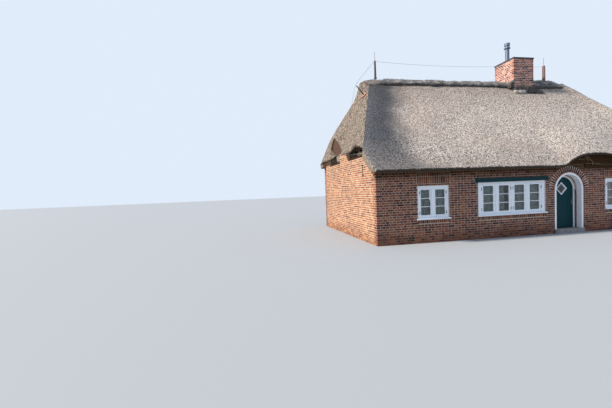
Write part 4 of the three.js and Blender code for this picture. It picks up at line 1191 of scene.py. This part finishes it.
def front_bricks():
    pile = Pile()
    top_over_door = OVER_DOOR_TOP - UNDER_BOARDS
    board_low, board_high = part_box("lintel_board")
    for outline, a, b, _, kind in courses(*LONG_WALL, FIRST_BED, top_over_door, 0):
        under = [float(FRONT_SEAT_Z + EYEBROW_LIFT * eyebrow_rise(x)) - UNDER_EYEBROW for x in (a, b)]
        over_door = a > DOOR_X - SURROUND_R and b < DOOR_X + SURROUND_R
        top = min(*under, top_over_door) if over_door else FRONT_BRICK_TOP
        outlines = clear_of_windows(worth_laying([cut(outline, 0, 1, top)]), "front")
        outlines = leave_rectangle(
            outlines, (board_low.x, board_high.x), (board_low.z, board_high.z + JOINT))
        doorway = (DOOR_X - SURROUND_R - SURROUND_GAP, DOOR_X + SURROUND_R + SURROUND_GAP)
        outlines = leave_rectangle(outlines, doorway, (0, SPRING_Z))
        outlines = leave_round(outlines, RING_OUTER + JOINT)
        lay(pile, outlines, FACES["front"], deep=depth_at(a < LEFT or b > RIGHT, kind))
    sills_and_arches(pile, "front")
    lay(pile, ring_courses(SURROUND_R + 0.006, RING_OUTER), FACES["front"], proud=BRICK_PROUD + 0.002)
    pile.piece("bricks_front", "fired_brick", "brick")


def doorway_bricks():
    """Bricks beside the doorway's inner reveal, and the arch over it."""
    pile = Pile()
    near, far = REVEAL_R + REVEAL_GAP, SURROUND_INNER - REVEAL_GAP
    low, top = FLOOR + 0.004, SPRING_Z - 0.004
    laid = []
    while low < top - 0.02:
        high = min(low + BRICK_HIGH, top)
        for side in (-1, 1):
            a, b = sorted((DOOR_X + side * near, DOOR_X + side * far))
            laid.append([(a, low), (b, low), (b, high), (a, high)])
        low += COURSE
    lay(pile, laid + ring_courses(near, far),
        lambda along, up, out: (along, FRONT + SURROUND_DEPTH - out, up), proud=0.004)
    pile.piece("bricks_doorway_reveal", "fired_brick", "brick")


def back_bricks():
    pile = Pile()
    for outline, a, b, _, kind in courses(*LONG_WALL, FIRST_BED, BACK_BRICK_TOP, 0):
        outlines = clear_of_windows([outline], "back")
        lay(pile, outlines, FACES["back"], deep=depth_at(a < LEFT or b > RIGHT, kind))
    sills_and_arches(pile, "back")
    pile.piece("bricks_back", "back_brick", "brick")


def end_bricks(face):
    """An end wall: its courses keep clear of the corner bricks, and its top follows the thatch."""
    pile = Pile()
    for outline, a, b, low, _ in courses(*END_WALL, FIRST_BED, END_BRICK_TOP, 1):
        in_front_corner = a < FRONT and low < FRONT_BRICK_TOP - 0.02
        in_back_corner = b > BACK and low < BACK_BRICK_TOP - 0.02
        if in_front_corner or in_back_corner:
            continue
        outline = cut(outline, -FRONT_PITCH, 1, FRONT_LIP_Z + EAVE_Y * FRONT_PITCH - UNDER_THATCH)
        outline = cut(outline, BACK_PITCH, 1, BACK_LIP_Z + EAVE_Y * BACK_PITCH - UNDER_THATCH)
        outlines = worth_laying([outline])
        for along, up in window_spans(face):
            aside = (along[0] - ATTIC_GAP, along[1] + ATTIC_GAP)
            outlines = leave_rectangle(outlines, aside, (up[0] - ATTIC_GAP, up[1] + OVER_ATTIC))
        lay(pile, outlines, FACES[face])
    pile.piece(f"bricks_{face}", "sunlit_brick", "brick")


def chimney_bricks():
    pile = Pile()
    for face, place in sides_of(CHIMNEY_LOW, CHIMNEY_HIGH).items():
        wide = face in ("front", "back")
        start, end = (CHIMNEY_LOW.x, CHIMNEY_HIGH.x) if wide else (CHIMNEY_LOW.y, CHIMNEY_HIGH.y)
        reach, top = (start - BRICK_PROUD, end + BRICK_PROUD), CHIMNEY_HIGH.z - 0.004
        for outline, a, b, _, kind in courses(*reach, CHIMNEY_BRICK_FOOT, top, 1 - wide):
            at_corner = a < start or b > end
            if wide or not at_corner:
                lay(pile, [outline], place, deep=depth_at(at_corner, kind))
    pile.piece("bricks_chimney", "chimney_brick", "brick")


# The CAD walls: the axis and line of each outer face, the way inwards along it, and the outer finish

CAD_WALLS = {
    "wall_front_left": (1, FRONT, 1, "weathered_mortar"),
    "wall_front_right": (1, FRONT, 1, "weathered_mortar"),
    "wall_front_over_door": (1, FRONT, 1, "weathered_mortar"),
    "wall_back": (1, BACK, -1, "back_mortar"),
    "wall_left": (0, LEFT, 1, "lime_mortar"), "wall_right": (0, RIGHT, -1, "lime_mortar"),
}


def face_walls():
    """The CAD walls show as mortar outside and limewash inside."""
    for name, (axis, line, inwards, key) in CAD_WALLS.items():
        mesh = bpy.data.objects[name].data
        mesh.materials.clear()
        mesh.materials.append(FINISHES[key])
        mesh.materials.append(FINISHES["inside_limewash"])
        for face in mesh.polygons:
            is_outside = inwards * face.center[axis] < inwards * line + WALL / 2
            at_end = abs(abs(face.center.x) - RIGHT) < 0.001
            face.material_index = 0 if is_outside or at_end else 1


# Windows

SETBACK = 0.03
FRAME_WIDE = 0.085
WIDE_POST = 0.16
MULLION_WIDE = 0.085
SASH = 0.052
WIDE_SASH = 0.076
FOOT_RAIL = SASH * 1.3
SASH_GAP = 0.002
BAR = 0.022
PANE_OUT = -0.062
PANE_THICK = 0.004
PANE_REBATE = 0.004
PANE_TILT = 0.0016
CURTAIN_OUT = -0.20
ROD_ARM_END = -0.105


def light_spans(along, lights):
    """The clear openings between a frame's posts."""
    post = WIDE_POST if lights == 4 else FRAME_WIDE
    clear = (along[1] - along[0] - 2 * post - (lights - 1) * MULLION_WIDE) / lights
    starts = [along[0] + post + i * (clear + MULLION_WIDE) for i in range(lights)]
    return [(start, start + clear) for start in starts]


def dress_window(
        face, name, along, up, lights, glass_pile, rows=3, finish_key="white_paint", slot="white_paint"):
    """Sashes, glazing bars and panes in each light of a frame."""
    pile = Pile()
    low, high = up[0] + FRAME_WIDE + SASH_GAP, up[1] - FRAME_WIDE - SASH_GAP
    bottom, top = low + FOOT_RAIL, high - SASH
    out = (-SETBACK - 0.052, -SETBACK - 0.008)
    slim = (out[0] + 0.006, out[1] - 0.006)
    stile = WIDE_SASH if lights == 4 else SASH
    for left, right in light_spans(along, lights):
        left, right = left + SASH_GAP, right - SASH_GAP
        clear = (left + stile, right - stile)
        for across, over in (
                ((left, clear[0]), (low, high)), ((clear[1], right), (low, high)),
                (clear, (top, high)), (clear, (low, bottom))):
            bar(pile, face, across, over, out)
        levels = [mix(bottom, top, i / rows) for i in range(rows + 1)]
        for level in levels[1:-1]:
            bar(pile, face, clear, (level - BAR / 2, level + BAR / 2), slim, 0.003)
        if rows == 1:
            middle = (left + right) / 2
            bar(pile, face, (middle - BAR / 2, middle + BAR / 2), (bottom, top), slim, 0.003)
        for low_edge, high_edge in zip(levels, levels[1:]):
            tilt = chance.uniform(-PANE_TILT, PANE_TILT, 2)
            spots = [(clear[a > 0] + PANE_REBATE * a, (low_edge, high_edge)[b > 0] + PANE_REBATE * b,
                      PANE_OUT + tilt[0] * a + tilt[1] * b) for a, b in ((-1, -1), (-1, 1), (1, 1), (1, -1))]
            glass_pile.loft([[FACES[face](x, z, y - back) for x, z, y in spots] for back in (0, PANE_THICK)])
    pile.piece(name.replace("frame", "sashes"), finish_key, slot)


def sash_hinges(pile, face, along, up, lights):
    """Dark strap hinges on the outer stile of each casement."""
    for i, span in enumerate(light_spans(along, lights)):
        edge = span[i % 2]
        for z in (mix(up[0], up[1], 0.20), mix(up[0], up[1], 0.80)):
            bar(pile, face, (edge - 0.012, edge + 0.012), (z - 0.055, z + 0.055),
                (-SETBACK - 0.008, -SETBACK + 0.004), 0.003)


def all_windows():
    hinges = Pile()
    sills = Pile()
    replaced = {name: name.replace("frame", "glass") for name in WINDOW_NODES["front"]}
    replaced["window_back_2_frame"] = "glass_back"
    for face in ("front", "back"):
        for name, (along, up), lights in zip(WINDOW_NODES[face], window_spans(face), LIGHTS[face]):
            panes = Pile()
            dress_window(face, name, along, up, lights, panes)
            glass = panes.piece(name.replace("frame", "panes"), "window_glass", "glass")
            if name in replaced:
                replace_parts(glass, replaced[name])
            bar(sills, face, (along[0] - 0.05, along[1] + 0.05), (up[0] - 0.006, up[0] + 0.040),
                (-SETBACK, 0.060), 0.008)
            sash_hinges(hinges, face, along, up, lights)
    for face in ("left", "right"):
        panes = Pile()
        for name, (along, up), lights in zip(WINDOW_NODES[face], window_spans(face), LIGHTS[face]):
            dress_window(face, name, along, up, lights, panes, 1, "brown_timber", "dark_timber")
        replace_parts(panes.piece(f"attic_{face}_panes", "window_glass", "glass"), f"glass_attic_{face}")
    sills.piece("window_sills", "white_paint", "white_paint")
    hinges.piece("casement_hinges", "black_iron", "steel")


def curtain(name, along, up, finish_key, folds):
    """A gathered curtain: a thin cloth in upright folds, a little fuller towards its hem."""
    columns, rows, depth, thick = folds * 12, 14, 0.035, 0.0012
    points, faces = [], []
    for layer, row, column in itertools.product((0, 1), range(rows + 1), range(columns + 1)):
        t, s = row / rows, column / columns
        wave = math.sin(2 * math.pi * folds * s + 0.7 * math.sin(5 * s)) * (depth * mix(1.15, 0.8, t))
        points.append(FACES["front"](mix(along[0], along[1], s), mix(up[0], up[1], t),
                                     CURTAIN_OUT + wave + layer * thick))

    def at(layer, row, column):
        return (layer * (rows + 1) + row) * (columns + 1) + column

    for row, column, layer in itertools.product(range(rows), range(columns), (0, 1)):
        faces.append([at(layer, row, column), at(layer, row, column + 1),
                      at(layer, row + 1, column + 1), at(layer, row + 1, column)])
    rims = [((row, column), (row + 1, column)) for row in range(rows) for column in (0, columns)]
    rims += [((row, column), (row, column + 1)) for column in range(columns) for row in (0, rows)]
    faces += [[at(0, *a), at(0, *b), at(1, *b), at(1, *a)] for a, b in rims]
    cloth = make_piece(name, points, faces, [finish_key], smooth=70)
    path = [Vector(points[at(0, rows // 2, column)]) for column in range(columns + 1)]
    width = sum((q - p).length for p, q in zip(path, path[1:]))


def curtain_rod(name, along, z):
    """A thin rod with a ball at each end, held by two arms from the wall's inner side."""
    pile = Pile()
    sides = 10
    reach = (along[0] - 0.05, along[1] + 0.05)
    knob = [(0.03, 0.001), (0.024, 0.014), (0.008, 0.018), (0, 0.008)]
    profile = [(reach[0] - over, radius) for over, radius in knob]
    profile += [(reach[1] + over, radius) for over, radius in knob[::-1]]
    turns = [math.tau * i / sides for i in range(sides)]
    pile.loft([
        [FACES["front"](spot, z + radius * math.cos(t), CURTAIN_OUT + radius * math.sin(t)) for t in turns]
        for spot, radius in profile])
    for spot in reach:
        bar(pile, "front", (spot - 0.008, spot + 0.008), (z - 0.008, z + 0.008), (CURTAIN_OUT, ROD_ARM_END),
            0.002)
    pile.piece(name, "black_iron", "steel")


def all_curtains():
    for node, finish_key in zip(WINDOW_NODES["front"], ("green_curtain", "green_curtain", "pink_curtain")):
        low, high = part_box(node)
        up = (low.z + 0.03, high.z - 0.11)
        width = (high.x - low.x) * 0.42
        start, end = low.x + 0.06, high.x - 0.06
        for side, along in (("a", (start, start + width)), ("b", (end - width, end))):
            name = node.replace("frame", f"curtain_{side}")
            curtain_rod(name + "_rod", along, up[1] + 0.01)
            curtain(name, along, up, finish_key, max(4, round(width / 0.09)))


# Timber and iron

ANCHOR_Y = -2.28
ANCHOR_ENDS = (2.52, 2.84)
BOARDS_FOOT = 3.625
BOARDS_TOP = 4.40
BOARD_HIGH = 0.135
LOW_NOTCH_BOARD = (-2.42, -0.64)
ATTIC_SILLS = (-2.42, -0.62), (0.62, 2.43)
ATTIC_SILL_UP = (3.196, 3.240)
EYEBROW_BEAM = (1.92, 3.66), (2.440, 2.545)

# Each stick's ends in x and z, and half its thickness
EYEBROW_STICKS = [
    ((2.039, 2.916), (2.279, 2.700), 0.010), ((1.954, 2.883), (2.123, 2.728), 0.010),
    ((1.640, 2.797), (1.954, 2.790), 0.008), ((2.315, 2.700), (2.315, 2.445), 0.014),
    ((1.981, 2.625), (2.652, 2.620), 0.007), ((2.420, 2.585), (3.229, 2.570), 0.007),
]

# The collar lies this far down the stake, and each of its rings has a place along it and a radius
COLLAR_DOWN = 0.56
COLLAR_RINGS = (-0.08, 0.12), (0.015, 0.135), (0.035, 0.10), (0.04, 0.024)


def notch_span(points, z):
    """Where a notch's outline crosses a height: its lowest and highest y."""
    curve = rounded(points)
    crossings = [mix(p[0], q[0], (z - p[1]) / (q[1] - p[1])) for p, q in zip(curve, curve[1:])
                 if (p[1] - z) * (q[1] - z) < 0]
    return min(crossings), max(crossings)


def gable_boards(face):
    """Weathered boards that close the tall notch above its window, and a short one in the low notch."""
    pile = Pile()
    low = BOARDS_FOOT
    while low < BOARDS_TOP - 0.04:
        high = min(low + BOARD_HIGH, BOARDS_TOP)
        near, far = notch_span(TALL_NOTCH, min(BOARDS_TOP - 0.015, (low + high) / 2))
        out = (0.001, 0.020 + chance.uniform(0, 0.006))
        bar(pile, face, (near - 0.02, far + 0.02), (low, high - 0.006), out, 0.003)
        low = high
    bar(pile, face, LOW_NOTCH_BOARD, (END_BRICK_TOP, END_BRICK_TOP + 0.028), (0.0, 0.024), 0.003)
    pile.piece(f"gable_boards_{face}", "gable_timber", "grey_timber")
    sills = Pile()
    for along in ATTIC_SILLS:
        bar(sills, face, along, ATTIC_SILL_UP, (-0.03, 0.045), 0.006)
    sills.piece(f"attic_sills_{face}", "dark_boards", "dark_timber")


def eyebrow_sticks():
    """A beam on the brickwork under the eyebrow, and a few sticks over the dark boards."""
    beam = Pile()
    bar(beam, "front", *EYEBROW_BEAM, (-0.018, 0.022), 0.008)
    beam.piece("eyebrow_beam", "dark_boards", "dark_timber")
    sticks = Pile()
    for start, end, half in EYEBROW_STICKS:
        start, end = np.array(start), np.array(end)
        aside = np.array([start[1] - end[1], end[0] - start[0]]) * half / np.linalg.norm(end - start)
        corners = (start + aside, start - aside, end - aside, end + aside)
        sticks.loft([[FACES["front"](*spot, out) for spot in corners] for out in (-0.004, 0.012)])
    sticks.piece("eyebrow_sticks", "pale_lath", "dark_timber")


def wall_anchors():
    """A forged anchor on each end wall: a flat bar with its ends split and curled."""
    pile = Pile()
    for face in ("left", "right"):
        bar(pile, face, (ANCHOR_Y - 0.015, ANCHOR_Y + 0.015), ANCHOR_ENDS, (0.006, 0.020), 0.004)
        bar(pile, face, (ANCHOR_Y - 0.030, ANCHOR_Y + 0.030), (2.65, 2.71), (0.006, 0.034), 0.006)
        for z, side, step in itertools.product(ANCHOR_ENDS, (-1, 1), range(7)):
            angle = step * 0.42
            radius = 0.045 - 0.003 * step
            along = ANCHOR_Y + side * (0.045 - radius * math.cos(angle))
            up = z + (1 if z == ANCHOR_ENDS[1] else -1) * radius * math.sin(angle)
            bar(pile, face, (along - 0.010, along + 0.010), (up - 0.012, up + 0.012), (0.008, 0.020), 0.003)
    pile.piece("wall_anchors", "rusty_iron", "steel")


def stake_collar():
    """A fired-clay collar round the foot of the stake, lying on the half hip."""
    low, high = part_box("hip_stake")
    tip = Vector((low.x, (low.y + high.y) / 2, high.z))
    root = Vector((high.x, (low.y + high.y) / 2, low.z))
    axis = (tip - root).normalized()
    foot = tip - axis * COLLAR_DOWN
    aside = axis.orthogonal().normalized()
    other = axis.cross(aside)
    rings = []
    for along, radius in COLLAR_RINGS:
        ring = []
        for i in range(16):
            angle = math.tau * i / 16
            wobble = 1 + 0.12 * math.sin(3 * angle + 1) + 0.06 * math.sin(5 * angle)
            out = (aside * math.cos(angle) + other * math.sin(angle)) * radius * wobble
            ring.append(tuple(foot + axis * along + out))
        rings.append(ring)
    pile = Pile()
    pile.loft(rings, 0.9)
    pile.piece("stake_collar", "chimney_brick", "brick", smooth=50)


def lintel_mouldings():
    """A strip along the foot and one along the top of the lintel's board."""
    pile = Pile()
    low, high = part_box("lintel_board")
    along = (low.x - 0.01, high.x + 0.01)
    for foot, over in ((low.z - 0.004, 0.014), (high.z - 0.012, 0.018)):
        bar(pile, "front", along, (foot, foot + 0.026), (0.002, FRONT - low.y + over), 0.004)
    pile.piece("lintel_mouldings", "teal_paint", "teal_paint")


# The door

DOOR_EDGE = 0.482
PLANKS = 8


def door_planks():
    """Upright boards on the outside of the leaf, cut round the diamond window."""
    pile = Pile()
    low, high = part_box("door_leaf")
    outside = sides_of(low, high)["front"]
    diamond_low, diamond_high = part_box("door_window_frame")
    dx, dz = (diamond_low.x + diamond_high.x) / 2, (diamond_low.z + diamond_high.z) / 2
    half = (diamond_high.x - diamond_low.x) / 2 + 0.012
    pitch = 2 * DOOR_EDGE / PLANKS
    for i in range(PLANKS):
        a = DOOR_X - DOOR_EDGE + i * pitch + 0.003
        b = a + pitch - 0.006
        outline = [(a, low.z + 0.006), (b, low.z + 0.006), (b, high.z), (a, high.z)]
        for angle in np.linspace(0, math.pi, 21):
            cos, sin = math.cos(angle), math.sin(angle)
            outline = cut(outline, cos, sin, cos * DOOR_X + sin * SPRING_Z + DOOR_EDGE)
        parts = []
        rest = outline
        for sx, sz in ((1, 1), (1, -1), (-1, -1), (-1, 1)):
            limit = sx * dx + sz * dz + half
            parts.append(cut(rest, -sx, -sz, -limit))
            rest = cut(rest, sx, sz, limit)
            if len(rest) < 3:
                break
        if len(rest) < 3 or abs(signed_area(rest)) < 1e-5:
            parts = [outline]
        lay(pile, worth_laying(parts), outside, proud=0.006, deep=0.002)
    pile.piece("door_planks", "teal_paint", "teal_paint", body="door")


def diamond_bead():
    """The glazing bead round the diamond window."""
    pile = Pile()
    low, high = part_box("door_window_frame")
    cx, cz = (low.x + high.x) / 2, (low.z + high.z) / 2
    half = (high.x - low.x) / 2
    outer, inner = half + 0.006, half - 0.036
    for step in range(4):
        a, b = math.pi / 2 * step, math.pi / 2 * (step + 1)
        corners = [(outer, a), (outer, b), (inner, b), (inner, a)]
        pile.loft([[(cx + r * math.cos(t), low.y - out, cz + r * math.sin(t)) for r, t in corners]
                   for out in (0.0005, 0.012)])
    pile.piece("door_window_bead", "white_paint", "white_paint", body="door")


# Everything else keeps its CAD shape

CAD_FINISHES = {
    "floor_brick": ["floor_slab"], "attic_boards": ["loft_floor"], "arch_mortar": ["arch_ring"],
    "white_plaster": ["doorway_surround"], "worn_stone": ["door_sill"],
    "teal_paint": ["door_leaf", "lintel_board"],
    "white_paint": ["door_frame", "door_window_frame", *WINDOW_NODES["front"], *WINDOW_NODES["back"]],
    "brown_timber": [*WINDOW_NODES["left"], *WINDOW_NODES["right"]], "dark_boards": ["eyebrow_boards"],
    "window_glass": ["door_window_glass"], "dull_steel": ["door_handle"], "flue_steel": ["flue_pipe"],
    "black_iron": ["door_hinge_lower", "door_hinge_upper"], "pale_lime_mortar": ["chimney_stack"],
    "cap_slate": ["chimney_cap"], "grey_timber": ["ridge_post_left"], "red_timber": ["ridge_post_right"],
    "stake_timber": ["hip_stake"], "dull_wire": ["hip_wire"],
    "thin_wire": ["ridge_wire_left", "ridge_wire_right", "gable_wire"],
}


def finish_cad_nodes():
    for key, names in CAD_FINISHES.items():
        for name in names:
            mesh = bpy.data.objects[name].data
            mesh.materials.clear()
            mesh.materials.append(FINISHES[key])


FLOOR_REACH = 90
SUNWARD = Vector((-0.80, 0.02, 0.60))


def stage_and_light():
    """A pale floor, a low warm sun from the left and a cool fill from all round."""
    ground = bpy.data.meshes.new("studio_floor")
    corners = [(x * FLOOR_REACH, y * FLOOR_REACH, 0) for x, y in ((-1, -1), (1, -1), (1, 1), (-1, 1))]
    ground.from_pydata(corners, [], [(0, 1, 2, 3)])
    finish("pale_floor", Roughness=0.9, Base_Color=(0.31, 0.318, 0.326))
    ground.materials.append(FINISHES["pale_floor"])
    floor = bpy.data.objects.new("studio_floor", ground)
    bpy.context.scene.collection.objects.link(floor)

    world = bpy.data.worlds.new("studio")
    world.use_nodes = True
    tree = Tree(world.node_tree)
    seen = tree.add("LightPath")["Is Camera Ray"]
    tree.feed(world.node_tree.nodes["Background"].inputs["Color"],
              tree.mix(seen, (0.527, 0.655, 0.86), (0.75, 0.84, 0.96)))
    bpy.context.scene.world = world
    bpy.context.scene.view_settings.view_transform = "Standard"

    lamp = bpy.data.lights.new("key", "SUN")
    lamp.energy = 6.7
    lamp.angle = math.radians(6)
    lamp.color = (1.0, 0.94, 0.86)
    sun = bpy.data.objects.new("key", lamp)
    sun.rotation_euler = SUNWARD.to_track_quat("Z", "Y").to_euler()
    bpy.context.scene.collection.objects.link(sun)


def place_camera():
    lens = bpy.data.cameras.new("photo_camera")
    lens.lens = 19.32
    lens.sensor_width = 36
    camera = bpy.data.objects.new("photo_camera", lens)
    right = Vector((0.9824, -0.1825, -0.0390))
    up = Vector((0.0457, 0.0329, 0.9984))
    turn = Matrix((right, up, right.cross(up))).transposed()
    camera.matrix_world = Matrix.Translation((-10.97, -14.005, 2.0)) @ turn.to_4x4()
    bpy.context.scene.collection.objects.link(camera)
    bpy.context.scene.camera = camera


place_camera()
stage_and_light()
face_walls()
finish_cad_nodes()
main_slope("front", front_face, FRONT_RUN, FRONT_CORNER_Y, CHIMNEY_LOW.y, -1)
main_slope("back", back_face, BACK_RUN, BACK_CORNER_Y, CHIMNEY_HIGH.y, 1)
half_hip("hip_left", -1)
half_hip("hip_right", 1)
reed_ends()
heather_ridge()
front_bricks()
doorway_bricks()
back_bricks()
end_bricks("left")
end_bricks("right")
chimney_bricks()
all_windows()
all_curtains()
gable_boards("left")
gable_boards("right")
eyebrow_sticks()
wall_anchors()
stake_collar()
lintel_mouldings()
door_planks()
diamond_bead()
